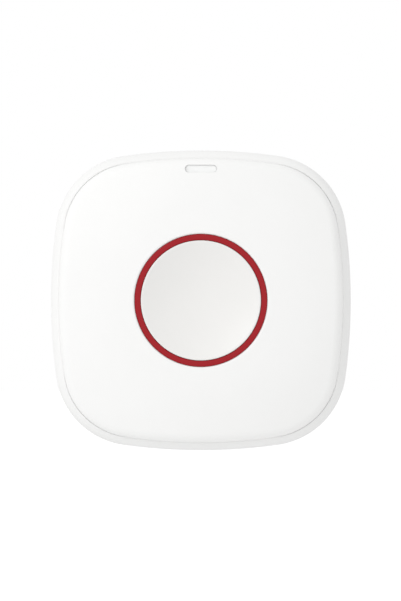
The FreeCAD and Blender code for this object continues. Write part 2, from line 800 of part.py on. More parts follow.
# Front cover: a shell whose shallow dome turns down at a brow towards the edge,
# with a stepped key hole, the window slot and posts for the screws of the
# housing and of the carrier. The posts are what its core leaves standing.
cover_height = "places.crown - places.ledge"
core = Piece("cover_core")
core_drawing = core.draw(height="places.ledge - sizes.overcut").outline("places.cover_inner_inset")
core.pad(core_drawing, f"{cover_height} + sizes.overcut")
core.groove(dome_cutter(core, "sizes.cover_skin"))
core.fillet(top_edges(core.shape(), number("places.ledge")), "sizes.cover_inner_radius")
collar_edge = "places.key_hole_radius + sizes.collar_width"
core.pocket(core.draw(height="places.crown").circle(collar_edge), "sizes.collar_depth")
corner_bosses = core.draw(height="places.crown")
for across, along in four_ways("places.case_screw_place", "places.case_screw_place"):
    corner_bosses.circle("places.corner_boss_radius", across, along)
core.pocket(corner_bosses, f"{cover_height} + sizes.overcut")
ear_post = core.draw(height="places.crown").circle(
    "sizes.carrier_post_radius", along="places.carrier_ear_place"
)
post = core.pocket(ear_post, "places.crown - places.ring_bottom")
core.polar([post], ear_post, 3)
cover = Piece("front_cover")
cover.pad(cover.draw(height="places.ledge").outline("places.cover_inset"), cover_height)
cover.groove(dome_cutter(cover, "0"))
cover.fillet(top_edges(cover.shape(), number("sizes.seam_height")), "sizes.cover_edge_radius")
hollow = cover.body.newObject("PartDesign::Boolean", "cover_hollow")
hollow.setObjects([core.body])
hollow.Type = "Cut"
document.recompute()
cover.pocket(
    cover.draw(height="places.crown").circle("places.key_hole_radius"), "sizes.collar_depth"
)
boss_ends = cover.draw(height="places.post_top")
for across, along in four_ways("places.case_screw_place", "places.case_screw_place"):
    boss_ends.circle("places.corner_boss_radius", across, along)
cover.pad(boss_ends, "sizes.corner_post_drop + sizes.overcut")
corner_pilots = cover.draw(height="places.post_top")
for across, along in four_ways("places.case_screw_place", "places.case_screw_place"):
    corner_pilots.circle("sizes.case_screw_radius", across, along)
cover.pocket(
    corner_pilots,
    "sizes.case_screw_seat + sizes.case_screw_length - places.post_top",
    up=True,
)
ear_pilot = cover.draw(height="places.ring_bottom").circle(
    "sizes.board_screw_radius", along="places.carrier_ear_place"
)
pilot = cover.pocket(ear_pilot, "sizes.carrier_screw_length - sizes.carrier_ear_thickness", up=True)
cover.polar([pilot], ear_pilot, 3)
cover.pocket(
    cover.draw(height="places.crown").stadium(
        "sizes.window_length", "sizes.window_width", "places.window_place"
    ),
    "sizes.light_guide_depth + sizes.light_guide_gap",
)
cover.fillet(
    level_edges(cover.shape(), number("places.key_hole_top"), number("sizes.ring_inner_radius")),
    "sizes.key_hole_edge",
)
cover.done()

# Gasket that fills the groove in the rear case's ledge.
seal = Piece("case_seal")
seal.pad(
    seal.draw(height="places.ledge - sizes.seal_depth")
    .outline("places.seal_inset")
    .outline("places.seal_inset + sizes.seal_width"),
    "sizes.seal_depth",
)
seal.done()

# Red ring: its flange is held between the cover's collar and the carrier.
ring = Piece("trim_ring")
flange_edge = "places.ring_outer_radius + sizes.ring_flange_width"
ring.revolve(
    ring.draw("XZ_Plane").profile(
        [
            ("sizes.ring_inner_radius", "places.ring_bottom"),
            (flange_edge, "places.ring_bottom"),
            (flange_edge, "places.collar_bottom"),
            ("places.ring_outer_radius", "places.collar_bottom"),
            ("places.ring_outer_radius", "places.ring_top"),
            ("sizes.ring_inner_radius", "places.ring_top"),
        ]
    )
)
ring.fillet(level_edges(ring.shape(), number("places.ring_top")), "sizes.ring_edge_radius")
ring.done()

# Key: a dished disc on a skirt, with a stem, a flange that stops it under the
# ring and two tabs that keep it from turning.
key = Piece("button_cap")
skirt_inner = "places.key_radius - sizes.key_skirt_wall"
under_radius = "sizes.dish_radius + sizes.key_skin"


def under_dish(reach):
    """Height of the key's underside at a distance from its middle."""
    return f"places.key_inner + {under_radius} - sqrt(({under_radius}) ^ 2 - ({reach}) ^ 2)"


key.revolve(
    key.draw("XZ_Plane").profile(
        [
            ("0", "places.key_inner"),
            ("sizes.key_stem_radius", "places.key_inner"),
            ("sizes.key_stem_radius", under_dish("sizes.key_stem_radius")),
            (skirt_inner, under_dish(skirt_inner)),
            (skirt_inner, "places.key_bottom"),
            ("places.key_flange_radius", "places.key_bottom"),
            ("places.key_flange_radius", "places.key_flange_top"),
            ("places.key_radius", "places.key_flange_top"),
            ("places.key_radius", "places.key_top - sizes.key_rim_radius"),
            ("places.key_radius - sizes.key_rim_radius", "places.key_top"),
            ("places.dish_edge", "places.key_top"),
            ("0", "places.key_top - places.dish_depth"),
        ],
        {
            2: (under_radius, 1),
            8: ("sizes.key_rim_radius", 1),
            10: ("sizes.dish_radius", -1),
        },
    )
)
tab_end = "places.key_flange_radius + sizes.key_tab_length"
tab_root = "places.key_radius - sizes.key_skirt_wall / 2"
tabs = key.draw(height="places.key_bottom")
for left, right in ((tab_root, tab_end), (f"-({tab_end})", f"-({tab_root})")):
    tabs.box(left, right, "-sizes.key_tab_width / 2", "sizes.key_tab_width / 2")
key.pad(tabs, "sizes.key_flange_thickness")
key.done()

# Carrier behind the key: a cup that guides the flange, clamps the membrane and
# is screwed to the cover by three ears.
carrier = Piece("key_carrier")
carrier.revolve(
    carrier.draw("XZ_Plane").profile(
        [
            ("sizes.carrier_opening", "places.carrier_bottom"),
            ("places.carrier_outer_radius", "places.carrier_bottom"),
            ("places.carrier_outer_radius", "places.ring_bottom"),
            ("places.carrier_inner_radius", "places.ring_bottom"),
            ("places.carrier_inner_radius", "places.carrier_seat"),
            ("sizes.carrier_opening", "places.carrier_seat"),
        ]
    )
)
tab_room = f"{tab_end} + sizes.tab_clearance"
tab_slots = carrier.draw(height="places.ring_bottom")
for left, right in ((tab_root, tab_room), (f"-({tab_room})", f"-({tab_root})")):
    tab_slots.box(
        left,
        right,
        "-sizes.key_tab_width / 2 - sizes.tab_clearance",
        "sizes.key_tab_width / 2 + sizes.tab_clearance",
    )
carrier.pocket(
    tab_slots,
    "places.ring_bottom - places.key_bottom + sizes.key_travel + sizes.key_room",
)
ear_root = "places.carrier_inner_radius + sizes.carrier_wall / 2"
ear = carrier.draw(height="places.carrier_ear_bottom").profile(
    [
        ("-sizes.carrier_post_radius", ear_root),
        ("sizes.carrier_post_radius", ear_root),
        ("sizes.carrier_post_radius", "places.carrier_ear_place"),
        ("-sizes.carrier_post_radius", "places.carrier_ear_place"),
    ],
    {2: (f"sizes.carrier_post_radius + {SLACK}", 1)},
)
ear_pad = carrier.pad(ear, "sizes.carrier_ear_thickness")
carrier.polar([ear_pad], ear, 3)
ear_hole = carrier.draw(height="places.ring_bottom").circle(
    "sizes.board_screw_radius + sizes.screw_clearance", along="places.carrier_ear_place"
)
drilled = carrier.pocket(ear_hole, "sizes.carrier_ear_thickness")
carrier.polar([drilled], ear_hole, 3)
carrier.done()

# Silicone membrane: a flange in the carrier's cup, a cone that gives way, and a
# pad whose nub rests on the switch.
membrane = Piece("key_membrane")
membrane_edge = "places.carrier_inner_radius - sizes.membrane_clearance"
pad_top = "places.key_inner - sizes.touch_gap"
pad_low = f"{pad_top} - sizes.membrane_pad"
membrane.revolve(
    membrane.draw("XZ_Plane").profile(
        [
            ("0", "places.plunger_top"),
            ("sizes.membrane_nub_radius", "places.plunger_top"),
            ("sizes.membrane_nub_radius", pad_low),
            ("sizes.membrane_pad_radius - sizes.membrane_web", pad_low),
            ("sizes.membrane_flange_inner - sizes.membrane_web", "places.carrier_seat"),
            (membrane_edge, "places.carrier_seat"),
            (membrane_edge, "places.carrier_seat + sizes.membrane_flange"),
            ("sizes.membrane_flange_inner", "places.carrier_seat + sizes.membrane_flange"),
            ("sizes.membrane_pad_radius", pad_top),
            ("0", pad_top),
        ]
    )
)
membrane.done()

# Light guide: a plug that shows in the slot, and an arm that slants to the lamp.
window = Piece("led_window")
window.pad(
    window.draw(height="places.window_back").stadium(
        "sizes.window_length - 2 * sizes.window_clearance",
        "sizes.window_width - 2 * sizes.window_clearance",
        "places.window_place",
    ),
    "places.window_top - places.window_back",
)
guide_outer = "places.window_place + sizes.window_width / 2 - 2 * sizes.window_clearance"
guide_inner = "places.window_place - sizes.window_width / 2 + 2 * sizes.window_clearance"
guide_end = "places.window_place - sizes.light_guide_reach"
guide_root = "places.window_back + sizes.light_guide_root"
guide_foot = "places.led_top + sizes.light_guide_gap"
window.pad(
    window.draw("YZ_Plane").profile(
        [
            (guide_outer, guide_root),
            (guide_inner, guide_root),
            (guide_end, "places.window_back - sizes.light_guide_fall"),
            (guide_end, guide_foot),
            (f"{guide_end} + sizes.light_guide_tip", guide_foot),
            (guide_outer, "places.window_back - sizes.light_guide_root"),
        ]
    ),
    "sizes.light_guide_foot",
    both=True,
)
window.done()

# Circuit board, notched round the corner posts.
board = Piece("circuit_board")
board_drawing = board.draw(height="places.board_back").outline("places.board_inset")
board.pad(board_drawing, "sizes.board_thickness")
notches = board.draw(height="places.board_front")
for across, along in four_ways("places.case_screw_place", "places.case_screw_place"):
    notches.circle("sizes.corner_post_radius + sizes.board_notch_clearance", across, along)
board.pocket(notches, "sizes.board_thickness")
board_screw_holes = board.draw(height="places.board_front")
for side in ("", "-"):
    board_screw_holes.circle(
        "sizes.board_screw_radius + sizes.screw_clearance", f"{side}places.board_post_place"
    )
board.pocket(board_screw_holes, "sizes.board_thickness")
board.done()

# Tactile switch: a body with a round well, a metal plate staked on four pegs, a
# plunger whose flange is kept under the plate, and a snap dome that lifts it.
pegs = four_ways("sizes.switch_peg_place", "sizes.switch_peg_place")
half_switch = "sizes.switch_width / 2"
switch = Piece("switch_housing")
switch.pad(
    switch.draw(height="places.board_front").box(
        f"-{half_switch}", half_switch, f"-{half_switch}", half_switch
    ),
    "sizes.switch_height",
)
switch.pocket(
    switch.draw(height="places.switch_top").circle("sizes.switch_well_radius"),
    "sizes.switch_height - sizes.switch_well_floor",
)
peg_drawing = switch.draw(height="places.switch_top")
for across, along in pegs:
    peg_drawing.circle("sizes.switch_peg_radius", across, along)
switch.pad(peg_drawing, "sizes.switch_plate_thickness + sizes.switch_peg_rise")
switch.done()

# The switch's four leads, which leave its sides and step down to the board.
leads = Piece("switch_leads")
lead_neck = f"{half_switch} + sizes.switch_lead_neck"
lead_heel = f"{lead_neck} + sizes.switch_lead_slope"
lead_toe = f"{lead_heel} + sizes.switch_lead_foot"
lead_root = "places.board_front + sizes.switch_lead_root"
lead_side = [
    (half_switch, lead_root),
    (lead_neck, lead_root),
    (lead_heel, "places.board_front"),
    (lead_toe, "places.board_front"),
    (lead_toe, "places.board_front + sizes.switch_lead_thickness"),
    (f"{lead_heel} + sizes.switch_lead_thickness / 2", "places.board_front + sizes.switch_lead_thickness"),
    (f"{lead_neck} + sizes.switch_lead_thickness / 2", f"{lead_root} + sizes.switch_lead_thickness"),
    (half_switch, f"{lead_root} + sizes.switch_lead_thickness"),
]
for side in ("", "-"):
    lead_drawing = leads.draw("XZ_Plane", f"{side}sizes.switch_lead_place")
    lead_drawing.profile(lead_side)
    lead_drawing.profile([(f"-({across})", level) for across, level in reversed(lead_side)])
    leads.pad(lead_drawing, "sizes.switch_lead_width", both=True)
leads.done()
switch_plate = Piece("switch_plate")
edge = f"{half_switch} - sizes.plunger_clearance"
plate_drawing = switch_plate.draw(height="places.switch_top").box(
    f"-({edge})", edge, f"-({edge})", edge
)
plate_drawing.circle("sizes.plunger_radius + sizes.plunger_clearance")
for across, along in pegs:
    plate_drawing.circle("sizes.switch_peg_radius", across, along)
switch_plate.pad(plate_drawing, "sizes.switch_plate_thickness")
switch_plate.done()
plunger = Piece("switch_plunger")
plunger_edge = "sizes.plunger_radius + sizes.plunger_flange"
flange_top = "places.switch_top - sizes.touch_gap"
plunger.revolve(
    plunger.draw("XZ_Plane").profile(
        [
            ("0", "places.plunger_bottom"),
            (plunger_edge, "places.plunger_bottom"),
            (plunger_edge, flange_top),
            ("sizes.plunger_radius", flange_top),
            ("sizes.plunger_radius", "places.plunger_top"),
            ("0", "places.plunger_top"),
        ]
    )
)
plunger.done()
snap = Piece("switch_dome")
inner_snap = "places.snap_radius - sizes.snap_dome_thickness"
snap_drop = "places.snap_radius - places.snap_rise"
snap.revolve(
    snap.draw("XZ_Plane").profile(
        [
            ("0", "places.plunger_bottom - sizes.snap_dome_thickness"),
            (f"sqrt(({inner_snap}) ^ 2 - ({snap_drop}) ^ 2)", "places.well_floor"),
            ("places.snap_reach", "places.well_floor"),
            ("0", "places.plunger_bottom"),
        ],
        {0: (inner_snap, -1), 2: ("places.snap_radius", 1)},
    )
)
snap.done()


def block(label, across, along, length, width, height, edge_size):
    """A small moulded block on the board, with bevelled top edges."""
    made = Piece(label)
    made.pad(
        made.draw(height="places.board_front").box(
            f"{across} - {length} / 2",
            f"{across} + {length} / 2",
            f"{along} - {width} / 2",
            f"{along} + {width} / 2",
        ),
        height,
    )
    made.chamfer(level_edges(made.shape(), number(f"places.board_front + {height}")), edge_size)
    made.done()


block(
    "status_led",
    "0",
    "places.led_place",
    "sizes.led_length",
    "sizes.led_width",
    "sizes.led_height",
    "sizes.chip_edge",
)
block(
    "radio_chip",
    "-places.chip_across",
    "sizes.chip_along",
    "sizes.chip_width",
    "sizes.chip_width",
    "sizes.chip_height",
    "sizes.chip_edge",
)
block(
    "crystal",
    "-places.crystal_across",
    "places.crystal_along",
    "sizes.crystal_length",
    "sizes.crystal_width",
    "sizes.crystal_height",
    "sizes.crystal_edge",
)

# Small chip capacitors: a row of three by the chip and one across the board.
capacitors = Piece("capacitors")
rows = capacitors.draw(height="places.board_front")
left_row, right_row = "places.capacitor_along", "sizes.chip_along"
for middle, along in (("-places.chip_across", left_row), ("places.chip_across", right_row)):
    for step in (-1, 0, 1):
        across = f"{middle} + {step} * sizes.capacitor_pitch"
        rows.box(
            f"{across} - sizes.capacitor_length / 2",
            f"{across} + sizes.capacitor_length / 2",
            f"{along} - sizes.capacitor_width / 2",
            f"{along} + sizes.capacitor_width / 2",
        )
capacitors.pad(rows, "sizes.capacitor_height")
capacitors.done()


# Antenna: a wire hoop that stands off the board on two legs.
def primitive(kind, name, bound):
    """A Part primitive with its sizes bound to the sheets."""
    made = document.addObject(f"Part::{kind}", name)
    for key, expression in bound.items():
        made.setExpression(key, expression)
    return made


wire = "sizes.antenna_wire_radius"
hoop = primitive(
    "Torus",
    "antenna_hoop",
    {
        "Radius1": "places.antenna_radius",
        "Radius2": wire,
        "Angle3": "sizes.antenna_sweep",
        "Placement.Base.z": "places.antenna_level",
        "Placement.Rotation.Angle": "places.antenna_start * 1 deg",
    },
)
antenna_parts = [hoop]
for end, turn in (("first", "places.antenna_start"), ("last", "(540 - places.antenna_start)")):
    spot = {
        "Placement.Base.x": f"places.antenna_radius * cos({turn} * 1 deg)",
        "Placement.Base.y": f"places.antenna_radius * sin({turn} * 1 deg)",
    }
    leg = {"Radius": wire, "Height": "sizes.antenna_rise", "Placement.Base.z": "places.board_front"}
    knee = {"Radius": wire, "Placement.Base.z": "places.antenna_level"}
    antenna_parts.append(primitive("Cylinder", f"antenna_leg_{end}", {**spot, **leg}))
    antenna_parts.append(primitive("Sphere", f"antenna_knee_{end}", {**spot, **knee}))
antenna = document.addObject("Part::MultiFuse", "antenna_wire")
antenna.Shapes = antenna_parts
document.recompute()
finish("antenna_wire", antenna)

# Coin cell: a can with a rounded foot, crimped over the narrower front cap.
cell = Piece("coin_cell")
shoulder = "places.cell_front - sizes.cell_cap_rise"
cell.revolve(
    cell.draw("XZ_Plane").profile(
        [
            ("0", "places.cell_back"),
            ("sizes.cell_radius - sizes.cell_foot_radius", "places.cell_back"),
            ("sizes.cell_radius", "places.cell_back + sizes.cell_foot_radius"),
            ("sizes.cell_radius", f"{shoulder} - sizes.cell_crimp"),
            ("sizes.cell_cap_radius + sizes.cell_crimp", shoulder),
            ("sizes.cell_cap_radius + sizes.cell_crimp_gap", f"{shoulder} - sizes.cell_crimp"),
            ("sizes.cell_cap_radius", f"{shoulder} - sizes.cell_crimp"),
            ("sizes.cell_cap_radius - sizes.cell_crimp", "places.cell_front"),
            ("0", "places.cell_front"),
        ],
        {1: ("sizes.cell_foot_radius", 1)},
    )
)
cell.done()

# Contacts: a leaf on the board that presses on the cell's front, and a bowed
# strip in the bay's slot that touches its side.
leaf = Piece("cell_front_contact")
under_board = "places.board_back - sizes.contact_thickness"
touch = "places.cell_front + sizes.touch_gap"
leaf_bend = "-places.contact_root + sizes.contact_reach"
leaf.pad(
    leaf.draw("XZ_Plane").profile(
        [
            ("-places.contact_root", "places.board_back"),
            ("-places.contact_root", under_board),
            (leaf_bend, under_board),
            ("-sizes.contact_bend", touch),
            ("-sizes.contact_tip", touch),
            ("-sizes.contact_tip", f"{touch} + sizes.contact_thickness"),
            ("-sizes.contact_bend", f"{touch} + sizes.contact_thickness"),
            (leaf_bend, "places.board_back"),
        ]
    ),
    "sizes.contact_width",
    both=True,
)
leaf.done()
strip = Piece("cell_side_contact")
side_face = "sizes.cell_radius + sizes.touch_gap"
away = f"{side_face} + sizes.strip_bow"
strip_foot = f"{away} + sizes.strip_foot"
strip_touch = "places.cell_front - sizes.strip_touch"
strip_end = "places.cell_front - sizes.strip_end"
strip.pad(
    strip.draw("YZ_Plane").profile(
        [
            (strip_foot, "places.board_back"),
            (away, "places.board_back"),
            (side_face, strip_touch),
            (away, strip_end),
            (f"{away} + sizes.contact_thickness", strip_end),
            (f"{side_face} + sizes.contact_thickness", strip_touch),
            (f"{away} + sizes.contact_thickness", under_board),
            (strip_foot, under_board),
        ]
    ),
    "sizes.contact_width",
    both=True,
)
strip.done()

# Battery door: a head in the recess, a cup for the cell and three lugs that
# turn behind the floor's lip, with a coin slot across its back.
door = Piece("battery_door")
door_base = "places.recess_floor + sizes.door_base_thickness"
door_head = door.draw(height="places.recess_floor").circle("sizes.door_head_radius")
door.pad(door_head, "sizes.door_head_thickness")
door.fillet(level_edges(door.shape(), number("places.recess_floor")), "sizes.door_edge_radius")
door.pad(
    door.draw(height="places.door_head_front").circle("sizes.door_plug_radius"),
    f"{door_base} - places.door_head_front",
)
door_cup = "sizes.cell_radius + sizes.door_cup_clearance"
door.pad(
    door.draw(height=door_base).circle("sizes.door_plug_radius").circle(door_cup),
    "sizes.door_rim_rise",
)
turned = "sizes.door_turn * 1 deg"
wide = "sizes.door_lug_width / 2"
near = f"{door_cup} + sizes.door_lug_bite"
far = f"sqrt(places.lug_radius ^ 2 - ({wide}) ^ 2)"
lug = door.draw(height="places.lug_back").profile(
    [
        (
            f"({reach}) * cos({turned}) - ({offset}) * sin({turned})",
            f"({reach}) * sin({turned}) + ({offset}) * cos({turned})",
        )
        for reach, offset in ((near, f"-{wide}"), (far, f"-{wide}"), (far, wide), (near, wide))
    ],
    {1: ("places.lug_radius", 1)},
)
lug_pad = door.pad(lug, "sizes.door_lug_thickness")
door.polar([lug_pad], lug, 3)
half_slot = "sizes.coin_slot_length / 2"
door.pocket(
    door.draw(height="places.recess_floor").box(
        f"-{half_slot}", half_slot, "-sizes.coin_slot_width / 2", "sizes.coin_slot_width / 2"
    ),
    "sizes.coin_slot_depth",
    up=True,
)
door.done()
washer = Piece("door_seal")
washer.pad(
    washer.draw(height="places.door_head_front")
    .circle("sizes.door_head_radius - sizes.door_clearance")
    .circle("sizes.door_plug_radius + sizes.door_clearance"),
    "sizes.door_seal_thickness",
)
washer.done()


def screws(label, spots, seat, length, radii, head, outward):
    """A group of pan-head screws with cross recesses; outward heads face the front."""
    shank_radius, head_radius = radii
    made = Piece(label)
    heads = made.draw(height=seat)
    shanks = made.draw(height=seat)
    for across, along in spots:
        heads.circle(head_radius, across, along)
        shanks.circle(shank_radius, across, along)
    made.pad(heads, head, back=not outward)
    made.pad(shanks, length, back=outward)
    crown_height = f"{seat} + {head}" if outward else f"{seat} - {head}"
    made.fillet(level_edges(made.shape(), number(crown_height)), f"{head} * sizes.screw_edge_share")
    arm = f"{head_radius} * sizes.cross_reach_share"
    half_arm = f"{head_radius} * sizes.cross_width_share"
    for long, wide_by in ((arm, half_arm), (half_arm, arm)):
        slots = made.draw(height=crown_height)
        for across, along in spots:
            slots.box(
                f"{across} - {long}", f"{across} + {long}", f"{along} - {wide_by}", f"{along} + {wide_by}"
            )
        made.pocket(slots, f"{head} * sizes.cross_depth_share", up=not outward)
    made.done()


screws(
    "case_screws",
    four_ways("places.case_screw_place", "places.case_screw_place"),
    "sizes.case_screw_seat",
    "sizes.case_screw_length",
    ("sizes.case_screw_radius", "sizes.case_screw_head_radius"),
    "sizes.case_screw_head",
    outward=False,
)
small = ("sizes.board_screw_radius", "sizes.board_screw_head_radius")
screws(
    "board_screws",
    [("places.board_post_place", "0"), ("-places.board_post_place", "0")],
    "places.board_front",
    "sizes.board_screw_length",
    small,
    "sizes.board_screw_head",
    outward=True,
)
ear_spots = [
    (f"places.carrier_ear_place * cos({turn} deg)", f"places.carrier_ear_place * sin({turn} deg)")
    for turn in (90, 210, 330)
]
screws(
    "carrier_screws",
    ear_spots,
    "places.carrier_ear_bottom",
    "sizes.carrier_screw_length",
    small,
    "sizes.board_screw_head",
    outward=False,
)

document.recompute()
for made in document.Objects:
    if "Invalid" in made.State or "Error" in made.State:
        raise RuntimeError(f"{made.Name} failed: {made.State}")
os.makedirs("parts", exist_ok=True)
for made in finished:
    shape = made.Shape
    if shape.isNull() or not shape.isValid():
        raise RuntimeError(f"{made.Label} has no valid shape")
    shape.exportStep(os.path.join("parts", f"{made.Label}.step"))
    print(f"{made.Label}: {len(shape.Solids)} solids, {shape.Volume:.1f} mm3")
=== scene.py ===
import json
import logging
import math
from collections.abc import Callable, Sequence
from dataclasses import dataclass
from enum import Enum

import bmesh
import bpy
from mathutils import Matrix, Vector


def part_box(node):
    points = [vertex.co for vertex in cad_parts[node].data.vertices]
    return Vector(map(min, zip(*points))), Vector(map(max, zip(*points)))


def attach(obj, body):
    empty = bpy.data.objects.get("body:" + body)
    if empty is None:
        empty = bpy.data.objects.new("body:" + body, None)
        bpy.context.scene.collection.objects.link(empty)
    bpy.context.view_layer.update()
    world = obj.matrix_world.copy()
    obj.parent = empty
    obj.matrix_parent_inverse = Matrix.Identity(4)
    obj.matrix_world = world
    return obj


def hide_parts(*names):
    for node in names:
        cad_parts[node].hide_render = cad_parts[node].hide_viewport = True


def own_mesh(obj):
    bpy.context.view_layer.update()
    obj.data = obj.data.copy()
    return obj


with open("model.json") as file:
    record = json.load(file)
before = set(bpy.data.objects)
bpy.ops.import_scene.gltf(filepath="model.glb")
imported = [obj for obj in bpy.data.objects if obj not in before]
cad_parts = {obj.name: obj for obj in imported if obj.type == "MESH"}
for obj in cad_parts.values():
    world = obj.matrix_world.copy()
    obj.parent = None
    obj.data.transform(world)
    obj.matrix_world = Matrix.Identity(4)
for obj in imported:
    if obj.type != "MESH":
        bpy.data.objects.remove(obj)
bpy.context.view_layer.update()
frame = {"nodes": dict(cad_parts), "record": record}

log = logging.getLogger("panic_button")

Colour = tuple[float, float, float]
Point = tuple[float, float, float]
Setting = float | int | str | bool | Sequence[float]
MILLIMETRE = 0.001


class Term:
    """A number that varies over a surface: a node's output, with Python's operators."""

    def __init__(self, socket: bpy.types.NodeSocket) -> None:
        """Wrap an output socket."""
        self.socket = socket

    def _joined(self, operation: str, first: "Term | float", second: "Term | float") -> "Term":
        """Add one Math node.

        Args:
            operation: the Math node's operation.
            first: its upper value or link.
            second: its lower value or link.

        Returns:
            The node's output.
        """
        tree = self.socket.id_data
        made = tree.nodes.new("ShaderNodeMath")
        made.operation = operation
        for place, given in enumerate((first, second)):
            if isinstance(given, Term):
                tree.links.new(given.socket, made.inputs[place])
            else:
                made.inputs[place].default_value = given
        return Term(made.outputs[0])

    def __add__(self, other: "Term | float") -> "Term":
        """Sum."""
        return self._joined("ADD", self, other)

    def __radd__(self, other: float) -> "Term":
        """Sum with a number on the left."""
        return self._joined("ADD", other, self)

    def __sub__(self, other: "Term | float") -> "Term":
        """Difference."""
        return self._joined("SUBTRACT", self, other)

    def __rsub__(self, other: float) -> "Term":
        """Difference with a number on the left."""
        return self._joined("SUBTRACT", other, self)

    def __mul__(self, other: "Term | float") -> "Term":
        """Product."""
        return self._joined("MULTIPLY", self, other)

    def __rmul__(self, other: float) -> "Term":
        """Product with a number on the left."""
        return self._joined("MULTIPLY", other, self)

    def __truediv__(self, other: "Term | float") -> "Term":
        """Quotient."""
        return self._joined("DIVIDE", self, other)

    def __rtruediv__(self, other: float) -> "Term":
        """Quotient with a number on the left."""
        return self._joined("DIVIDE", other, self)

    def __pow__(self, other: "Term | float") -> "Term":
        """Power."""
        return self._joined("POWER", self, other)

    def __gt__(self, other: "Term | float") -> "Term":
        """One where this is the greater, and nought elsewhere."""
        return self._joined("GREATER_THAN", self, other)

    def __lt__(self, other: "Term | float") -> "Term":
        """One where this is the smaller, and nought elsewhere."""
        return self._joined("LESS_THAN", self, other)


class Recipe:
    """A material while its nodes are being written."""

    def __init__(self, name: str) -> None:
        """Start a material with its own surface shader."""
        self.material = bpy.data.materials.new(name)
        self.material.use_nodes = True
        self.tree = self.material.node_tree
        self.surface = self.tree.nodes["Principled BSDF"]

    def node(
        self,
        kind: str,
        settings: dict[str, object] | None = None,
        sockets: dict[str | int, object] | None = None,
    ) -> bpy.types.Node:
        """Add a node of any type.

        Args:
            kind: the node's type, without the ShaderNode in front.
            settings: its own properties, or the stops of a ramp.
            sockets: a value or a link for each input that is named or numbered.

        Returns:
            The node.
        """
        made = self.tree.nodes.new(f"ShaderNode{kind}")
        for key, setting in (settings or {}).items():
            if key == "stops":
                self._set_stops(made.color_ramp, setting)
            else:
                setattr(made, key, setting)
        for key, given in (sockets or {}).items():
            self.feed(made.inputs[key], given)
        return made

    @staticmethod
    def _set_stops(ramp: bpy.types.ColorRamp, stops: Sequence[tuple[float, Colour]]) -> None:
        """Give a ramp its stops, each a place and a colour."""
        while len(ramp.elements) < len(stops):
            ramp.elements.new(1.0)
        for element, (place, colour) in zip(ramp.elements, stops):
            element.position = place
            element.color = (*colour, 1.0)

    def feed(self, socket: bpy.types.NodeSocket, given: object) -> None:
        """Link an output to a socket, or set the socket's own value."""
        if isinstance(given, Term):
            given = given.socket
        if isinstance(given, bpy.types.NodeSocket):
            self.tree.links.new(given, socket)
        elif socket.type == "RGBA" and len(given) == 3:
            socket.default_value = (*given, 1.0)
        else:
            socket.default_value = given

    def place(self, scale: Point = (1.0, 1.0, 1.0)) -> bpy.types.NodeSocket:
        """Where a point of the piece lies, in metres times a scale."""
        where = self.node("TexCoord").outputs["Object"]
        moved = self.node("Mapping", {"vector_type": "POINT"}, {"Vector": where, "Scale": scale})
        return moved.outputs["Vector"]

    def noise(self, grain: float, detail: float = 2.0, scale: Point = (1.0, 1.0, 1.0)) -> Term:
        """Cloudy variation about one half.

        Args:
            grain: size of its patches, in metres.
            detail: how many finer layers it has.
            scale: stretch along each axis.

        Returns:
            The variation.
        """
        made = self.node(
            "TexNoise", {}, {"Vector": self.place(scale), "Scale": 1 / grain, "Detail": detail}
        )
        return Term(made.outputs["Fac"])

    def mix(self, share: Term, first: object, second: object) -> bpy.types.NodeSocket:
        """Blend two colours by a share."""
        made = self.node("Mix", {"data_type": "RGBA"}, {"Factor": share})
        colours = [s for s in made.inputs if s.type == "RGBA"]
        self.feed(colours[0], first)
        self.feed(colours[1], second)
        return next(s for s in made.outputs if s.type == "RGBA")

    def bump(self, height: Term, depth: float) -> None:
        """Raise the surface by a height times a depth in metres."""
        made = self.node("Bump", {}, {"Height": height, "Distance": depth, "Strength": 1.0})
        self.feed(self.surface.inputs["Normal"], made.outputs["Normal"])

    def set(self, **values: object) -> None:
        """Set or link sockets of the surface shader, with underscores for spaces."""
        for key, given in values.items():
            self.feed(self.surface.inputs[key.replace("_", " ")], given)


def tinted(colour: Colour, share: float) -> Colour:
    """A colour made lighter or darker by a share."""
    return tuple(min(1.0, part * (1 + share)) for part in colour)


@dataclass(frozen=True)
class MouldedPlastic:
    """Injection-moulded plastic with the fine grain of a spark-eroded mould."""

    colour: Colour
    roughness: float = 0.42
    grain: float = 0.00028
    depth: float = 0.0000022
    mottle: float = 0.012
    gloss: float = 0.5

    def material(self, name: str) -> bpy.types.Material:
        """Write the nodes.

        Args:
            name: the material's name.

        Returns:
            The material.
        """
        recipe = Recipe(name)
        cloud = recipe.noise(0.009)
        grain = recipe.noise(self.grain, 1.0)
        low, high = tinted(self.colour, -self.mottle), tinted(self.colour, self.mottle)
        recipe.set(
            Base_Color=recipe.mix(cloud, low, high),
            Roughness=self.roughness - 0.04 + 0.08 * recipe.noise(0.004),
            Specular_IOR_Level=self.gloss,
        )
        recipe.bump(grain, self.depth)
        return recipe.material


@dataclass(frozen=True)
class Silicone:
    """Soft translucent rubber with a dusty, matt skin."""

    colour: Colour

    def material(self, name: str) -> bpy.types.Material:
        """Write the nodes.

        Args:
            name: the material's name.

        Returns:
            The material.
        """
        recipe = Recipe(name)
        dust = recipe.noise(0.0006, 4.0)
        recipe.set(
            Base_Color=recipe.mix(dust, tinted(self.colour, -0.06), tinted(self.colour, 0.05)),
            Roughness=0.55 + 0.2 * dust,
        )
        recipe.bump(dust, 0.000004)
        return recipe.material


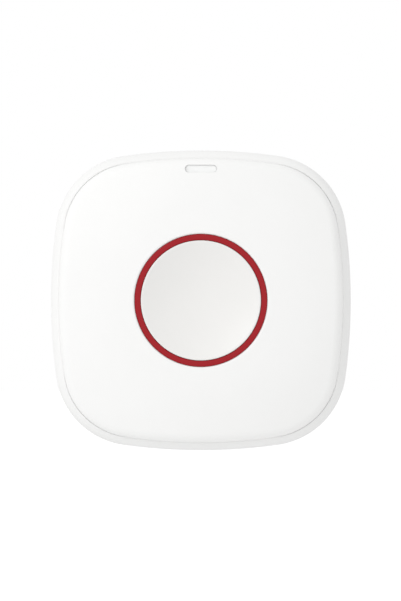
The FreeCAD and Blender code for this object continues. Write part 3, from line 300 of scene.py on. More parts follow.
@dataclass(frozen=True)
class Metal:
    """Drawn or rolled metal, with fine lines along one axis."""

    colour: Colour
    roughness: float = 0.28
    lines: Point = (1.0, 1.0, 12.0)

    def material(self, name: str) -> bpy.types.Material:
        """Write the nodes.

        Args:
            name: the material's name.

        Returns:
            The material.
        """
        recipe = Recipe(name)
        lines = recipe.noise(0.0012, 3.0, self.lines)
        recipe.set(
            Base_Color=recipe.mix(lines, tinted(self.colour, -0.07), tinted(self.colour, 0.05)),
            Metallic=1.0,
            Roughness=self.roughness - 0.08 + 0.16 * lines,
        )
        recipe.bump(lines, 0.000003)
        return recipe.material


@dataclass(frozen=True)
class SolderMask:
    """Circuit board under lacquer, with the tracks showing through it."""

    colour: Colour
    track: Colour
    patch: float = 0.007
    hole_pitch: float = 0.004
    track_pitch: float = 0.0009

    def _lines(self, recipe: Recipe, way: str) -> Term:
        """Parallel tracks.

        Args:
            recipe: the material.
            way: the axis that they lie across.

        Returns:
            One on a track, and nought between tracks.
        """
        wave_length = math.tau / 20
        waves = recipe.node(
            "TexWave",
            {"wave_type": "BANDS", "bands_direction": way},
            {"Vector": recipe.place(), "Scale": wave_length / self.track_pitch},
        )
        return Term(waves.outputs["Fac"]) > 0.86

    def material(self, name: str) -> bpy.types.Material:
        """Write the nodes.

        Args:
            name: the material's name.

        Returns:
            The material.
        """
        recipe = Recipe(name)
        cells = recipe.node(
            "TexVoronoi",
            {"distance": "CHEBYCHEV", "feature": "F1"},
            {"Vector": recipe.place(), "Scale": 1 / self.patch, "Randomness": 0.9},
        )
        holes = recipe.node(
            "TexVoronoi",
            {"feature": "F1"},
            {"Vector": recipe.place(), "Scale": 1 / self.hole_pitch, "Randomness": 1.0},
        )
        which = Term(cells.outputs["Color"])
        runs = [self._lines(recipe, way) for way in ("X", "Z")]
        tracks = runs[0] * (which > 0.58) + runs[1] * (which < 0.42) + (Term(holes.outputs["Distance"]) < 0.1)
        recipe.set(
            Base_Color=recipe.mix(tracks, self.colour, self.track),
            Roughness=0.30 + 0.1 * recipe.noise(0.002),
        )
        recipe.bump(tracks, 0.00002)
        return recipe.material


class Slot(Enum):
    """The record's material slots, each with the finish that its pieces get."""

    shell_white = MouldedPlastic((0.90, 0.90, 0.892), roughness=0.55, gloss=0.32)
    key_white = MouldedPlastic((0.835, 0.828, 0.812), roughness=0.38)
    ring_red = MouldedPlastic((0.34, 0.006, 0.012), roughness=0.34, mottle=0.03, gloss=0.25)
    window_milk = MouldedPlastic((0.915, 0.92, 0.915), roughness=0.22, depth=0.0000008)
    bracket_white = MouldedPlastic((0.84, 0.84, 0.83), roughness=0.5, depth=0.000004)
    carrier_grey = MouldedPlastic((0.30, 0.31, 0.32), roughness=0.5, mottle=0.02)
    silicone = Silicone((0.72, 0.72, 0.70))
    board_green = SolderMask((0.02, 0.13, 0.05), (0.05, 0.22, 0.09))
    switch_black = MouldedPlastic((0.03, 0.03, 0.03), roughness=0.5, mottle=0.04)
    chip_black = MouldedPlastic((0.025, 0.025, 0.028), roughness=0.6, mottle=0.05)
    lamp_white = MouldedPlastic((0.80, 0.74, 0.42), roughness=0.2, mottle=0.05)
    ceramic_tan = MouldedPlastic((0.34, 0.22, 0.11), roughness=0.5, mottle=0.08)
    steel = Metal((0.62, 0.62, 0.61))
    cell_steel = Metal((0.68, 0.68, 0.67), roughness=0.2, lines=(1.0, 12.0, 1.0))
    brass_wire = Metal((0.72, 0.50, 0.22), roughness=0.25)


class Shade(Enum):
    """Nodes given a slightly darker copy of their slot's finish: the rear case, darker than the front cover.
    """

    rear_case = MouldedPlastic((0.873, 0.873, 0.866), roughness=0.55, gloss=0.36)


class Finishes:
    """Gives each piece the finish of its slot, one material for each slot."""

    def __init__(self, record: dict) -> None:
        """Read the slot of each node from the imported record."""
        self.slot_of = {part["node"]: part["material_slot"] for part in record["subparts"]}
        self.made: dict[str, bpy.types.Material] = {}

    def dress(self, piece: bpy.types.Object, slot: str) -> None:
        """Cover a piece with the finish of a slot."""
        if slot not in self.made:
            finish = Shade[slot] if slot in Shade.__members__ else Slot[slot]
            self.made[slot] = finish.value.material(slot)
        piece.data.materials.clear()
        piece.data.materials.append(self.made[slot])

    def dress_nodes(self, nodes: dict[str, bpy.types.Object]) -> None:
        """Cover every node of the frame that still shows."""
        for name, node in nodes.items():
            if not node.hide_render:
                self.dress(node, name if name in Shade.__members__ else self.slot_of[name])
                log.info("node %s in %s", name, self.slot_of[name])


class Pick(Enum):
    """What a selection in edit mode takes."""

    points = "VERT"
    edges = "EDGE"
    faces = "FACE"


@dataclass(frozen=True)
class Span:
    """The box of a piece that lies on its back, in millimetres."""

    low: Vector
    high: Vector

    @classmethod
    def of(cls, node: str) -> "Span":
        """Read the box of one of the frame's nodes."""
        low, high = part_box(node)
        return cls(
            Vector((low.x, low.z, -high.y)) / MILLIMETRE, Vector((high.x, high.z, -low.y)) / MILLIMETRE
        )


class Workpiece:
    """A mesh worked in millimetres on its back, with y up and z out of the wall."""

    seam = 0.0005
    shading_angle = math.radians(32)

    def __init__(self, piece: bpy.types.Object) -> None:
        """Take up a new object and go to edit mode."""
        self.piece = piece
        self.start = Vector()
        self.last = Vector()
        self.roundings: list[tuple[Vector, float]] = []
        self.take_up(edit=True)

    @staticmethod
    def clear() -> None:
        """Leave edit mode with nothing selected."""
        if bpy.context.mode != "OBJECT":
            bpy.ops.object.mode_set(mode="OBJECT")
        bpy.ops.object.select_all(action="DESELECT")

    def take_up(self, edit: bool) -> None:
        """Select this piece alone, and go to edit mode if asked."""
        self.clear()
        self.piece.select_set(True)
        bpy.context.view_layer.objects.active = self.piece
        if edit:
            bpy.ops.object.mode_set(mode="EDIT")

    @classmethod
    def profile(cls, name: str, reach: float, level: float) -> "Workpiece":
        """Start a profile in the XZ plane.

        Args:
            name: the piece's name.
            reach: distance of its first point from the axis.
            level: height of its first point.

        Returns:
            The piece, a single point as yet.
        """
        cls.clear()
        bpy.ops.mesh.primitive_plane_add(size=1.0, location=(0.0, 0.0, 0.0))
        bpy.context.object.name = name
        made = cls(bpy.context.object)
        bpy.ops.mesh.select_mode(type=Pick.points.value)
        bpy.ops.mesh.merge(type="CENTER")
        made.start = made.last = Vector((reach, 0.0, level))
        bpy.ops.transform.translate(value=made.start)
        return made

    @classmethod
    def block(cls, name: str, low: Sequence[float], high: Sequence[float]) -> "Workpiece":
        """Start from a block between two corners."""
        cls.clear()
        low, high = Vector(low), Vector(high)
        bpy.ops.mesh.primitive_cube_add(size=1.0, location=(low + high) / 2, scale=high - low)
        bpy.context.object.name = name
        bpy.ops.object.transform_apply(location=True, rotation=True, scale=True)
        return cls(bpy.context.object)

    def pick(self, what: Pick, wanted: Callable[[Vector, Vector], bool]) -> None:
        """Select parts of the mesh.

        Args:
            what: points, edges or faces.
            wanted: whether one is taken, from its middle and its normal.
        """
        bpy.ops.mesh.select_mode(type=what.value)
        bpy.ops.mesh.select_all(action="DESELECT")
        mesh = bmesh.from_edit_mesh(self.piece.data)
        if what is Pick.faces:
            for face in mesh.faces:
                face.select_set(wanted(face.calc_center_median(), face.normal))
        elif what is Pick.edges:
            for edge in mesh.edges:
                ends = [point.co for point in edge.verts]
                edge.select_set(wanted((ends[0] + ends[1]) / 2, ends[1] - ends[0]))
        else:
            for point in mesh.verts:
                point.select_set(wanted(point.co, point.normal))
        mesh.select_flush_mode()
        bmesh.update_edit_mesh(self.piece.data)

    def to(self, reach: float, level: float, rounding: float = 0.0) -> "Workpiece":
        """Draw the profile on to a corner, which may be rounded."""
        corner = Vector((reach, 0.0, level))
        bpy.ops.mesh.extrude_vertices_move(TRANSFORM_OT_translate={"value": corner - self.last})
        if rounding:
            self.roundings.append((corner, rounding))
        self.last = corner
        return self

    def bow(self, middle_level: float, reach: float, steps: int) -> "Workpiece":
        """Draw the profile on along an arc whose middle is on the axis.

        Args:
            middle_level: height of the arc's middle.
            reach: distance of its end from the axis.
            steps: how many straight pieces it has.

        Returns:
            The same piece.
        """
        radius = math.hypot(self.last.x, middle_level - self.last.z)
        turn = math.asin(reach / radius) - math.asin(self.last.x / radius)
        side = 1.0 if middle_level > self.last.z else -1.0
        bpy.ops.mesh.spin(
            steps=steps, angle=side * turn, center=(0.0, 0.0, middle_level), axis=(0.0, 1.0, 0.0)
        )
        rise = math.sqrt(radius**2 - reach**2)
        self.last = Vector((reach, 0.0, middle_level - side * rise))
        return self

    def close(self) -> "Workpiece":
        """Join the profile's last point to its first."""
        ends = (self.start, self.last)
        self.pick(Pick.points, lambda place, _: min((place - end).length for end in ends) < self.seam)
        bpy.ops.mesh.edge_face_add()
        return self

    def turned(self, steps: int = 192) -> "Workpiece":
        """Round the profile's corners and turn it about the axis."""
        for corner, radius in self.roundings:
            self.pick(Pick.points, lambda place, _: (place - corner).length < self.seam)
            bpy.ops.mesh.bevel(offset=radius, segments=5, affect="VERTICES")
        bpy.ops.mesh.select_all(action="SELECT")
        bpy.ops.mesh.spin(steps=steps, angle=math.tau, center=(0.0, 0.0, 0.0), axis=(0.0, 0.0, 1.0))
        return self.tidied()

    def tidied(self) -> "Workpiece":
        """Merge doubled points and turn all faces outwards."""
        bpy.ops.mesh.select_all(action="SELECT")
        bpy.ops.mesh.remove_doubles(threshold=self.seam)
        bpy.ops.mesh.normals_make_consistent(inside=False)
        return self

    def eased(self, size: float, wanted: Callable[[Vector, Vector], bool], segments: int = 2) -> "Workpiece":
        """Bevel the edges that pass a test on their middle and their run."""
        self.pick(Pick.edges, wanted)
        bpy.ops.mesh.bevel(offset=size, segments=segments, affect="EDGES")
        return self

    def at(self, place: Sequence[float], flipped: bool = False) -> "Workpiece":
        """Set the piece down at a place, with its top to the wall if it is flipped."""
        self.take_up(edit=False)
        self.piece.rotation_euler = (math.pi if flipped else 0.0, 0.0, 0.0)
        self.piece.location = place
        bpy.ops.object.transform_apply(location=True, rotation=True, scale=True)
        return self

    def moved(self, step: Sequence[float]) -> "Workpiece":
        """Move the piece by a step."""
        bpy.ops.mesh.select_all(action="SELECT")
        bpy.ops.transform.translate(value=step)
        return self

    def swung(self, angle: float) -> "Workpiece":
        """Turn the piece about the z axis."""
        self.take_up(edit=False)
        self.piece.rotation_euler = (0.0, 0.0, angle)
        bpy.ops.object.transform_apply(location=True, rotation=True, scale=True)
        return self

    def discard(self) -> None:
        """Take the piece away, once it has been copied."""
        self.clear()
        bpy.data.objects.remove(self.piece)

    def copy(self, name: str) -> "Workpiece":
        """A copy with its own mesh."""
        self.take_up(edit=False)
        made = bpy.data.objects.new(name, self.piece.data.copy())
        bpy.context.scene.collection.objects.link(made)
        return Workpiece(made)

    def carve(self, tool: "Workpiece", operation: str = "DIFFERENCE") -> "Workpiece":
        """Cut a tool's shape out of the piece, or weld it on."""
        self.take_up(edit=False)
        cut = self.piece.modifiers.new("cut", "BOOLEAN")
        cut.operation = operation
        cut.object = tool.piece
        bpy.ops.object.modifier_apply(modifier=cut.name)
        bpy.data.objects.remove(tool.piece)
        bpy.ops.object.mode_set(mode="EDIT")
        return self

    def join(self, others: Sequence["Workpiece"]) -> "Workpiece":
        """Make one piece of this and others."""
        self.take_up(edit=False)
        for other in others:
            other.piece.select_set(True)
        bpy.ops.object.join()
        bpy.ops.object.mode_set(mode="EDIT")
        return self

    def stand(self) -> bpy.types.Object:
        """Finish the piece: stand it upright, in metres, with smooth shading."""
        self.take_up(edit=False)
        self.piece.rotation_euler = (math.pi / 2, 0.0, 0.0)
        self.piece.scale = (MILLIMETRE,) * 3
        bpy.ops.object.transform_apply(location=True, rotation=True, scale=True)
        bpy.ops.object.shade_smooth_by_angle(angle=self.shading_angle)
        self.clear()
        return self.piece


class Assembly:
    """A group of pieces that ride on one body."""

    body = "case"

    def __init__(self, finishes: "Finishes") -> None:
        """Keep the finishes for the group's pieces."""
        self.finishes = finishes

    def hand_over(self, made: Workpiece, slot: str, *replaced: str) -> None:
        """Finish a piece, dress it and put it on its body.

        Args:
            made: the piece.
            slot: the material slot that it takes.
            replaced: the frame's nodes that it stands for.
        """
        piece = made.stand()
        self.finishes.dress(piece, slot)
        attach(piece, self.body)
        if replaced:
            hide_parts(*replaced)
        log.info("piece %s in %s, %d faces", piece.name, slot, len(piece.data.polygons))


@dataclass
class KeyGroup(Assembly):
    """The round key: a dished disc on a skirt, with a stop flange and two tabs."""

    finishes: "Finishes"
    body = "key"
    clearance: float = 0.07
    ring_inner: float = 12.27
    rim_round: float = 0.2
    rim_land: float = 0.05
    dish_radius: float = 30.0
    skin: float = 0.9
    skirt: float = 1.2
    stem: float = 5.0
    flange_width: float = 0.9
    flange_thickness: float = 0.65
    tab_half_width: float = 1.0

    def build(self) -> None:
        """Turn the key, and draw its tabs out of the flange."""
        span = Span.of("button_cap")
        radius = self.ring_inner - self.clearance
        dish_edge = radius - self.rim_round - self.rim_land
        dish_middle = span.high.z + math.sqrt(self.dish_radius**2 - dish_edge**2)
        under = self.dish_radius + self.skin
        flange = radius + self.flange_width
        flange_top = span.low.z + self.flange_thickness
        skirt_inner = radius - self.skirt

        def under_level(reach: float) -> float:
            """Height of the key's underside at a distance from its middle."""
            return dish_middle - math.sqrt(under**2 - reach**2)

        made = Workpiece.profile("key_cap", 0.0, dish_middle - self.dish_radius)
        made.bow(dish_middle, dish_edge, 40)
        made.to(radius, span.high.z, self.rim_round)
        made.to(radius, flange_top, 0.08).to(flange, flange_top, 0.08).to(flange, span.low.z, 0.08)
        made.to(skirt_inner, span.low.z, 0.15).to(skirt_inner, under_level(skirt_inner), 0.25)
        made.bow(dish_middle, self.stem, 12)
        made.to(self.stem, dish_middle - under, 0.1).to(0.0, dish_middle - under)
        made.turned(256)
        self._tabs(made, flange, span)
        self.hand_over(made, "key_white", "button_cap")

    def _tabs(self, made: Workpiece, flange: float, span: Span) -> None:
        """Draw the two tabs out of the flange's side.

        Args:
            made: the turned key.
            flange: radius of its flange.
            span: the box of the key, whose sides the tabs reach.
        """
        for side in (-self.tab_half_width, self.tab_half_width):
            bpy.ops.mesh.select_all(action="SELECT")
            bpy.ops.mesh.bisect(plane_co=(0.0, side, 0.0), plane_no=(0.0, 1.0, 0.0))
        for end, sign in ((span.low.x, -1.0), (span.high.x, 1.0)):
            made.pick(
                Pick.faces,
                lambda middle, normal: abs(middle.y) < self.tab_half_width
                and middle.x * sign > flange - 0.2
                and normal.x * sign > 0.9,
            )
            bpy.ops.mesh.extrude_region_move(TRANSFORM_OT_translate={"value": (sign, 0.0, 0.0)})
            bpy.ops.transform.resize(value=(0.0, 1.0, 1.0), center_override=(end, 0.0, 0.0))
        made.tidied()


@dataclass
class RedRing(Assembly):
    """The red ring round the key, held by its flange."""

    finishes: "Finishes"
    inner: float = 12.27
    width: float = 1.2
    flange_thickness: float = 0.8
    edge: float = 0.15

    def build(self) -> None:
        """Turn the ring from its closed profile."""
        span = Span.of("trim_ring")
        outer = self.inner + self.width
        flange_top = span.low.z + self.flange_thickness
        made = Workpiece.profile("red_ring", self.inner, span.low.z)
        made.to(span.high.x, span.low.z, 0.1).to(span.high.x, flange_top, 0.1)
        made.to(outer, flange_top).to(outer, span.high.z, self.edge)
        made.to(self.inner, span.high.z, self.edge).close()
        self.hand_over(made.turned(256), "ring_red", "trim_ring")


@dataclass
class GivingParts(Assembly):
    """The silicone membrane behind the key and the snap disc of the switch, which give way."""

    finishes: "Finishes"
    travel: float = 0.82
    flange: float = 0.55
    flange_inner: float = 9.6
    web: float = 0.4
    pad_radius: float = 6.4
    pad: float = 0.5
    nub_radius: float = 1.4
    snap_sheet: float = 0.12

    def build(self) -> None:
        """Turn both, and give each its own mesh."""
        self._membrane(Span.of("key_membrane"), Span.of("switch_plunger").high.z)
        self._snap(Span.of("switch_dome"))

    def _flattens(self, piece: str, span: Span) -> None:
        """Give a piece its own copy of its mesh.

        Args:
            piece: its name.
            span: its box; not used.
        """
        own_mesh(bpy.data.objects[piece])

    def _membrane(self, span: Span, plunger: float) -> None:
        """A clamped flange, a cone that gives way, and a pad with a nub on the switch.

        Args:
            span: the membrane's box.
            plunger: height of the switch's plunger.
        """
        edge, seat, top = span.high.x, span.low.z, span.high.z
        low = top - self.pad
        made = Workpiece.profile("rubber_membrane", 0.0, plunger)
        made.to(self.nub_radius, plunger, 0.15).to(self.nub_radius, low, 0.1)
        made.to(self.pad_radius - self.web, low, 0.3).to(self.flange_inner - self.web, seat, 0.2)
        made.to(edge, seat, 0.1).to(edge, seat + self.flange, 0.15)
        made.to(self.flange_inner, seat + self.flange, 0.3).to(self.pad_radius, top, 0.25).to(0.0, top)
        self.hand_over(made.turned(), "silicone", "key_membrane")
        self._flattens("rubber_membrane", span)

    def _snap(self, span: Span) -> None:
        """A thin sprung disc.

        Args:
            span: the disc's box.
        """
        reach, rise = span.high.x, span.high.z - span.low.z
        radius = (reach**2 + rise**2) / (2 * rise)
        middle = span.high.z - radius
        inner_reach = math.sqrt((radius - self.snap_sheet) ** 2 - (span.low.z - middle) ** 2)
        made = Workpiece.profile("snap_disc", 0.0, span.high.z)
        made.bow(middle, reach, 12).to(inner_reach, span.low.z).bow(middle, 0.0, 12)
        self.hand_over(made.turned(72), "steel", "switch_dome")
        self._flattens("snap_disc", span)


@dataclass
class PowerCell(Assembly):
    """The coin cell: a can crimped over a gasket, and the front cap inside it."""

    finishes: "Finishes"
    foot: float = 0.4
    cap_radius: float = 10.9
    cap_rise: float = 0.8
    gasket: float = 0.2
    crimp: float = 0.3

    def build(self) -> None:
        """Turn the can, the gasket and the cap."""
        span = Span.of("coin_cell")
        radius = span.high.x
        shoulder = span.high.z - self.cap_rise
        valley = shoulder - self.crimp
        lip = self.cap_radius + self.gasket
        can = Workpiece.profile("cell_can", 0.0, span.low.z)
        can.to(radius, span.low.z, self.foot).to(radius, shoulder - 0.15, 0.2)
        can.to(lip + 0.25, shoulder, 0.12).to(lip, shoulder - 0.1, 0.05).to(lip, valley).to(0.0, valley)
        self.hand_over(can.turned(), "cell_steel", "coin_cell")
        gasket = Workpiece.profile("cell_gasket", self.cap_radius, valley)
        gasket.to(lip, valley).to(lip, shoulder - 0.12, 0.06)
        gasket.to(self.cap_radius, shoulder - 0.12, 0.06).close()
        self.hand_over(gasket.turned(), "switch_black", "coin_cell")
        cap = Workpiece.profile("cell_cap", 0.0, valley)
        cap.to(self.cap_radius, valley).to(self.cap_radius - self.crimp, span.high.z, 0.25)
        cap.to(self.cap_radius - 1.6, span.high.z).to(self.cap_radius - 1.75, span.high.z - 0.06)
        cap.to(0.0, span.high.z - 0.06)
        self.hand_over(cap.turned(), "cell_steel", "coin_cell")


@dataclass
class Screw:
    """A pan-head screw with a cross recess and a thread that cuts its own way."""

    shank: float
    head_radius: float
    head: float
    length: float
    pitch: float = 0.75
    root_share: float = 0.72
    recess_reach: float = 0.58
    recess_width: float = 0.15
    recess_depth: float = 0.5
    steps: int = 24

    def model(self, name: str) -> Workpiece:
        """Model the screw with its seat at nought, its head up and its point down."""
        head = Workpiece.profile(name, 0.0, 0.0)
        head.to(self.head_radius, 0.0, 0.06 * self.head)
        head.to(self.head_radius, self.head, 0.45 * self.head).to(0.0, self.head).turned(48)
        arms = [self._arm(turned) for turned in (False, True)]
        for arm in arms:
            head.carve(arm)
        head.tidied()
        return head.join([self._thread(name)])

    def _arm(self, turned: bool) -> Workpiece:
        """One arm of the cross, narrower at its foot.

        Args:
            turned: whether it lies along y.

        Returns:
            The cutting tool.
        """
        reach, half = self.head_radius * self.recess_reach, self.head_radius * self.recess_width
        across, along = (half, reach) if turned else (reach, half)
        foot, top = self.head * (1 - self.recess_depth), self.head * 1.2
        arm = Workpiece.block("cross_arm", (-across, -along, foot), (across, along, top))
        arm.pick(Pick.faces, lambda middle, _: middle.z < foot + 0.01)
        bpy.ops.transform.resize(value=(0.72, 0.72, 1.0), center_override=(0.0, 0.0, foot))
        return arm

    def _thread(self, name: str) -> Workpiece:
        """The shank: one tooth of the thread swept down a helix, with a point and a neck."""
        root = self.shank * self.root_share
        tip = -self.length
        first = tip + self.shank
        turns = int((-0.15 - first) / self.pitch) - 1
        made = Workpiece.profile(f"{name}_thread", root, first)
        made.to(root, first + 0.35 * self.pitch).to(self.shank, first + 0.58 * self.pitch)
        made.to(self.shank, first + 0.66 * self.pitch).to(root, first + self.pitch)
        made.take_up(edit=False)
        helix = made.piece.modifiers.new("helix", "SCREW")
        helix.screw_offset = self.pitch
        helix.iterations = turns
        helix.steps = helix.render_steps = self.steps
        helix.use_smooth_shade = False
        bpy.ops.object.modifier_apply(modifier=helix.name)
        bpy.ops.object.mode_set(mode="EDIT")
        bpy.ops.mesh.select_all(action="SELECT")
        bpy.ops.mesh.remove_doubles(threshold=Workpiece.seam)
        middle = (first + (turns + 1) * self.pitch) / 2 + first / 2
        for end, above in ((tip, False), (0.2 * self.head, True)):
            self._capped(made, end, middle, above)
        return made.tidied()

    @staticmethod
    def _capped(made: Workpiece, end: float, middle: float, above: bool) -> None:
        """Draw an open end of the thread in to a point on the axis.

        Args:
            made: the open thread.
            end: height of the point.
            middle: a height half way along the thread.
            above: whether this is the upper end.
        """
        bpy.ops.mesh.select_mode(type=Pick.points.value)
        bpy.ops.mesh.select_all(action="DESELECT")
        mesh = bmesh.from_edit_mesh(made.piece.data)
        for edge in mesh.edges:
            place = (edge.verts[0].co + edge.verts[1].co) / 2
            if edge.is_boundary and (place.z > middle) == above:
                edge.select_set(True)
        bmesh.update_edit_mesh(made.piece.data)
        bpy.ops.mesh.extrude_edges_move()
        bpy.ops.mesh.merge(type="CENTER")
        mesh = bmesh.from_edit_mesh(made.piece.data)
        now = next(point.co.copy() for point in mesh.verts if point.select)
        bpy.ops.transform.translate(value=Vector((0.0, 0.0, end)) - now)


@dataclass
class Fasteners(Assembly):
    """The screws of the housing, the board and the key's carrier."""

    finishes: "Finishes"
    corner: float = 20.951
    board_post: float = 22.575
    ear: float = 17.4

    def build(self) -> None:
        """Model each kind once and set copies of it in their places."""
        self._set_out(
            "case_screw",
            Screw(1.0, 1.9, 1.3, 10.4),
            [(x, y) for x in (-self.corner, self.corner) for y in (-self.corner, self.corner)],
            Span.of("case_screws").low.z + 1.3,
            "case_screws",
            flipped=True,
        )
        self._set_out(
            "board_screw",
            Screw(0.8, 1.6, 1.0, 5.0, pitch=0.6),
            [(-self.board_post, 0.0), (self.board_post, 0.0)],
            Span.of("board_screws").high.z - 1.0,
            "board_screws",
        )
        turns = [math.radians(turn) for turn in (90, 210, 330)]
        self._set_out(
            "carrier_screw",
            Screw(0.8, 1.6, 1.0, 3.2, pitch=0.6),
            [(self.ear * math.cos(turn), self.ear * math.sin(turn)) for turn in turns],
            Span.of("carrier_screws").low.z + 1.0,
            "carrier_screws",
            flipped=True,
        )

    def _set_out(
        self,
        name: str,
        screw: Screw,
        spots: Sequence[tuple[float, float]],
        seat: float,
        node: str,
        flipped: bool = False,
    ) -> None:
        """Set copies of a screw in their places.

        Args:
            name: the screws' name.
            screw: what they are.
            spots: their places across and along.
            seat: height of the heads' seat.
            node: the frame's node that they stand for.
            flipped: whether the heads face the wall.
        """
        first = screw.model(f"{name}_1")
        rest = [first.copy(f"{name}_{number}") for number in range(2, len(spots) + 1)]
        for made, (across, along) in zip([first, *rest], spots):
            self.hand_over(made.at((across, along, seat), flipped), "steel", node)


@dataclass
class BoardParts(Assembly):
    """The small parts soldered to the board's front: chip, crystal, capacitors and lamp."""

    finishes: "Finishes"
    end_length: float = 0.32
    end_proud: float = 0.03
    pad_pitch: float = 0.65
    pad_width: float = 0.3
    pads_a_side: int = 6
    capacitor_pitch: float = 2.2
    capacitors_a_row: int = 3

    def build(self) -> None:
        """Model each kind of part and set it on the board."""
        self._chip(Span.of("radio_chip"))
        self._crystal(Span.of("crystal"))
        self._capacitors(Span.of("capacitors"))
        self._lamp(Span.of("status_led"))
        self._joints(Span.of("antenna_wire"), Span.of("circuit_board").high.z)

    @staticmethod
    def _upright(run: Vector) -> bool:
        """Whether an edge runs out of the board."""
        return abs(run.z) > 0.9 * run.length

    def _chip(self, span: Span) -> None:
        """A moulded body with a dimple at its first pin, on rows of tinned pads.

        Args:
            span: the chip's box.
        """
        low, high = span.low, span.high
        body = Workpiece.block("chip_body", (low.x, low.y, low.z + 0.04), high)
        body.eased(0.14, lambda _, run: self._upright(run))
        body.eased(0.07, lambda middle, run: middle.z > high.z - 0.01 and not self._upright(run))
        body.tidied()
        dimple = Workpiece.profile("dimple", 0.0, high.z - 0.08)
        dimple.to(0.3, high.z - 0.08, 0.05).to(0.36, high.z + 0.1).to(0.0, high.z + 0.1).turned(32)
        dimple.at((low.x + 0.75, high.y - 0.75, 0.0))
        self.hand_over(body.carve(dimple).tidied(), "chip_black", "radio_chip")
        middle, reach = (low + high) / 2, (high.x - low.x) / 2
        half = self.pad_width / 2
        pad = Workpiece.block("pad", (reach - 0.35, -half, 0.0), (reach + 0.04, half, 0.22))
        pad.eased(0.05, lambda place, _: place.x > reach)
        pads = []
        for side in range(4):
            for number in range(self.pads_a_side):
                along = (number - (self.pads_a_side - 1) / 2) * self.pad_pitch
                pads.append(pad.copy("chip_pads").moved((0.0, along, 0.0)).swung(side * math.pi / 2))
        pad.discard()
        made = pads[0].join(pads[1:])
        self.hand_over(made.at((middle.x, middle.y, low.z)), "steel", "radio_chip")

    def _crystal(self, span: Span) -> None:
        """A metal can with a lid pressed into its flange.

        Args:
            span: the crystal's box.
        """
        low, high = span.low, span.high
        flange = low.z + 0.22
        made = Workpiece.block("crystal_can", low, (high.x, high.y, flange))
        made.eased(0.3, lambda _, run: self._upright(run), 4)
        made.pick(Pick.faces, lambda _, normal: normal.z > 0.9)
        bpy.ops.mesh.inset(thickness=0.16)
        bpy.ops.mesh.extrude_region_move(TRANSFORM_OT_translate={"value": (0.0, 0.0, high.z - flange)})
        made.eased(0.06, lambda middle, run: middle.z > high.z - 0.01 and not self._upright(run), 3)
        self.hand_over(made.tidied(), "steel", "crystal")

    def _ended(self, name: str, length: float, width: float, height: float) -> list[Workpiece]:
        """A chip part with its middle at nought: a body and its two tinned ends.

        Args:
            name: the part's name.
            length: its length, ends and all.
            width: its width.
            height: its height.

        Returns:
            The body and the ends.
        """
        proud = self.end_proud
        half, inner = length / 2, length / 2 - self.end_length
        body = Workpiece.block(
            f"{name}_body", (-inner, proud - width / 2, proud), (inner, width / 2 - proud, height - proud)
        )
        body.eased(0.04, lambda _, run: abs(run.x) > 0.9 * run.length)
        ends = Workpiece.block(f"{name}_ends", (inner, -width / 2, 0.0), (half, width / 2, height))
        ends.eased(0.07, lambda _, run: True)
        other = ends.copy("other_end").swung(math.pi)
        return [body, ends.join([other])]

    def _capacitors(self, span: Span) -> None:
        """Two rows of chip capacitors.

        Args:
            span: the box of both rows.
        """
        length, width = 1.6, 0.8
        left = span.low.x + length / 2
        right = span.high.x - length / 2 - (self.capacitors_a_row - 1) * self.capacitor_pitch
        spots = [
            (start + number * self.capacitor_pitch, along)
            for start, along in ((left, span.low.y + width / 2), (right, span.high.y - width / 2))
            for number in range(self.capacitors_a_row)
        ]
        pair = self._ended("capacitor", length, width, span.high.z - span.low.z)
        for kind, slot in zip(pair, ("ceramic_tan", "steel")):
            name = kind.piece.name
            for number, (across, along) in enumerate(spots, 1):
                made = kind.copy(f"{name}_{number}").at((across, along, span.low.z))
                self.hand_over(made, slot, "capacitors")
            kind.discard()

    def _lamp(self, span: Span) -> None:
        """The indicator lamp: a white case with tinned ends and a lens.

        Args:
            span: the lamp's box.
        """
        length, width = span.high.x - span.low.x, span.high.y - span.low.y
        middle = (span.low + span.high) / 2
        height = span.high.z - span.low.z
        body, ends = self._ended("lamp", length, width, height * 0.45)
        lens = Workpiece.block(
            "lamp_lens", (-0.36 * length, -0.42 * width, 0.2), (0.36 * length, 0.42 * width, height)
        )
        lens.pick(Pick.faces, lambda _, normal: normal.z > 0.9)
        bpy.ops.transform.resize(value=(0.84, 0.84, 1.0))
        lens.eased(0.09, lambda place, run: place.z > 0.25, 3)
        for made, slot in ((body, "key_white"), (ends, "steel"), (lens, "lamp_white")):
            self.hand_over(made.at((middle.x, middle.y, span.low.z)), slot, "status_led")

    def _joints(self, span: Span, board: float) -> None:
        """Solder where the antenna's two legs go into the board.

        Args:
            span: the box of the antenna.
            board: height of the board's front.
        """
        wire = 0.4
        leg = (span.high.x - wire, span.high.y - wire)
        first = Workpiece.profile("antenna_joint_1", 0.0, board - 0.02)
        first.to(0.95, board - 0.02).to(0.9, board + 0.04, 0.02).to(0.55, board + 0.16, 0.15)
        first.to(wire - 0.05, board + 0.55, 0.1).to(0.0, board + 0.6).turned(40)
        second = first.copy("antenna_joint_2").at((-leg[0], leg[1], 0.0))
        for made in (second, first.at((leg[0], leg[1], 0.0))):
            self.hand_over(made, "steel")


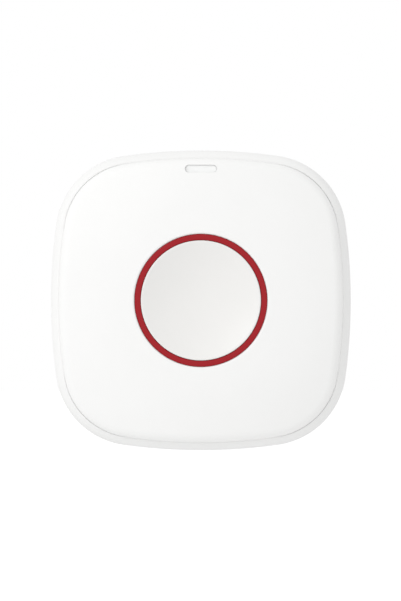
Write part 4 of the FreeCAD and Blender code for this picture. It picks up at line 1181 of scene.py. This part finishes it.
@dataclass
class Studio:
    """White surroundings, a pale floor, soft lamps and the camera."""

    lens: float = 135.0
    sensor: float = 36.0
    picture_height: float = 0.1243
    face_depth: float = -0.009
    rise: float = -0.00002
    step_aside: float = -0.00008
    floor_drop: float = -0.1
    floor_side: float = 4.0
    sky: float = 0.82

    def camera(self) -> None:
        """Set up the camera square on to the face, with the photograph's framing."""
        made = bpy.data.cameras.new("camera")
        made.lens = self.lens
        made.sensor_width = self.sensor
        holder = bpy.data.objects.new("camera", made)
        bpy.context.scene.collection.objects.link(holder)
        distance = self.picture_height * self.lens / self.sensor
        holder.location = (self.step_aside, self.face_depth - distance, self.rise)
        holder.rotation_euler = (math.pi / 2, 0.0, 0.0)
        bpy.context.scene.camera = holder

    def surroundings(self) -> None:
        """A plain white world that lights the piece evenly, and shows white behind it."""
        world = bpy.data.worlds.new("surroundings")
        bpy.context.scene.world = world
        world.use_nodes = True
        tree = world.node_tree
        seen = tree.nodes.new("ShaderNodeLightPath")
        back = tree.nodes["Background"]
        straight = Term(seen.outputs["Is Camera Ray"]) + Term(seen.outputs["Is Transmission Ray"])
        shown = straight + Term(seen.outputs["Is Glossy Ray"])
        strength = self.sky + (1 - self.sky) * (shown > 0.5)
        tree.links.new(strength.socket, back.inputs["Strength"])
        back.inputs["Color"].default_value = (1.0, 1.0, 1.0, 1.0)

    def lamp(self, name: str, place: Point, size: float, power: float) -> None:
        """A square soft lamp that points at the piece.

        Args:
            name: the lamp's name.
            place: where it hangs, in metres.
            size: its side, in metres.
            power: its power, in watts.
        """
        made = bpy.data.lights.new(name, "AREA")
        made.size = size
        made.energy = power
        holder = bpy.data.objects.new(name, made)
        bpy.context.scene.collection.objects.link(holder)
        holder.location = place
        holder.rotation_euler = (-Vector(place)).to_track_quat("-Z", "Y").to_euler()

    def floor(self) -> None:
        """A pale floor well below the piece, which shows white and keeps its shadow."""
        bpy.ops.object.select_all(action="DESELECT")
        bpy.ops.mesh.primitive_grid_add(
            x_subdivisions=4, y_subdivisions=4, size=self.floor_side, location=(0, 0, self.floor_drop)
        )
        floor = bpy.context.object
        floor.name = "floor"
        bpy.ops.object.transform_apply(location=True, rotation=True, scale=True)
        recipe = Recipe("floor_paper")
        seen = recipe.node("LightPath").outputs["Is Camera Ray"]
        recipe.set(
            Base_Color=recipe.mix(recipe.noise(0.02), (0.93, 0.93, 0.93), (0.95, 0.95, 0.95)),
            Roughness=0.9,
            Emission_Color=recipe.mix(Term(seen), (0.0, 0.0, 0.0), (0.3, 0.3, 0.3)),
            Emission_Strength=1.0,
        )
        floor.data.materials.append(recipe.material)

    def build(self) -> None:
        """Set everything up."""
        bpy.context.scene.view_settings.view_transform = "Standard"
        self.camera()
        self.surroundings()
        self.floor()
        self.lamp("front_lamp", (0.0, -1.1, 0.0), 0.6, 0.3)
        self.lamp("key_lamp", (-0.6, -0.6, 0.5), 0.6, 2.4)
        self.lamp("top_lamp", (0.0, -0.2, 0.95), 0.6, 0.3)
        log.info("studio set")


def main() -> None:
    """Build the piece's looks around the frame."""
    logging.basicConfig(level=logging.INFO, format="%(message)s")
    finishes = Finishes(frame["record"])
    for group in (KeyGroup, RedRing, GivingParts, PowerCell, Fasteners, BoardParts):
        group(finishes).build()
    finishes.dress_nodes(frame["nodes"])
    Studio().build()


if __name__ == "__main__":
    main()
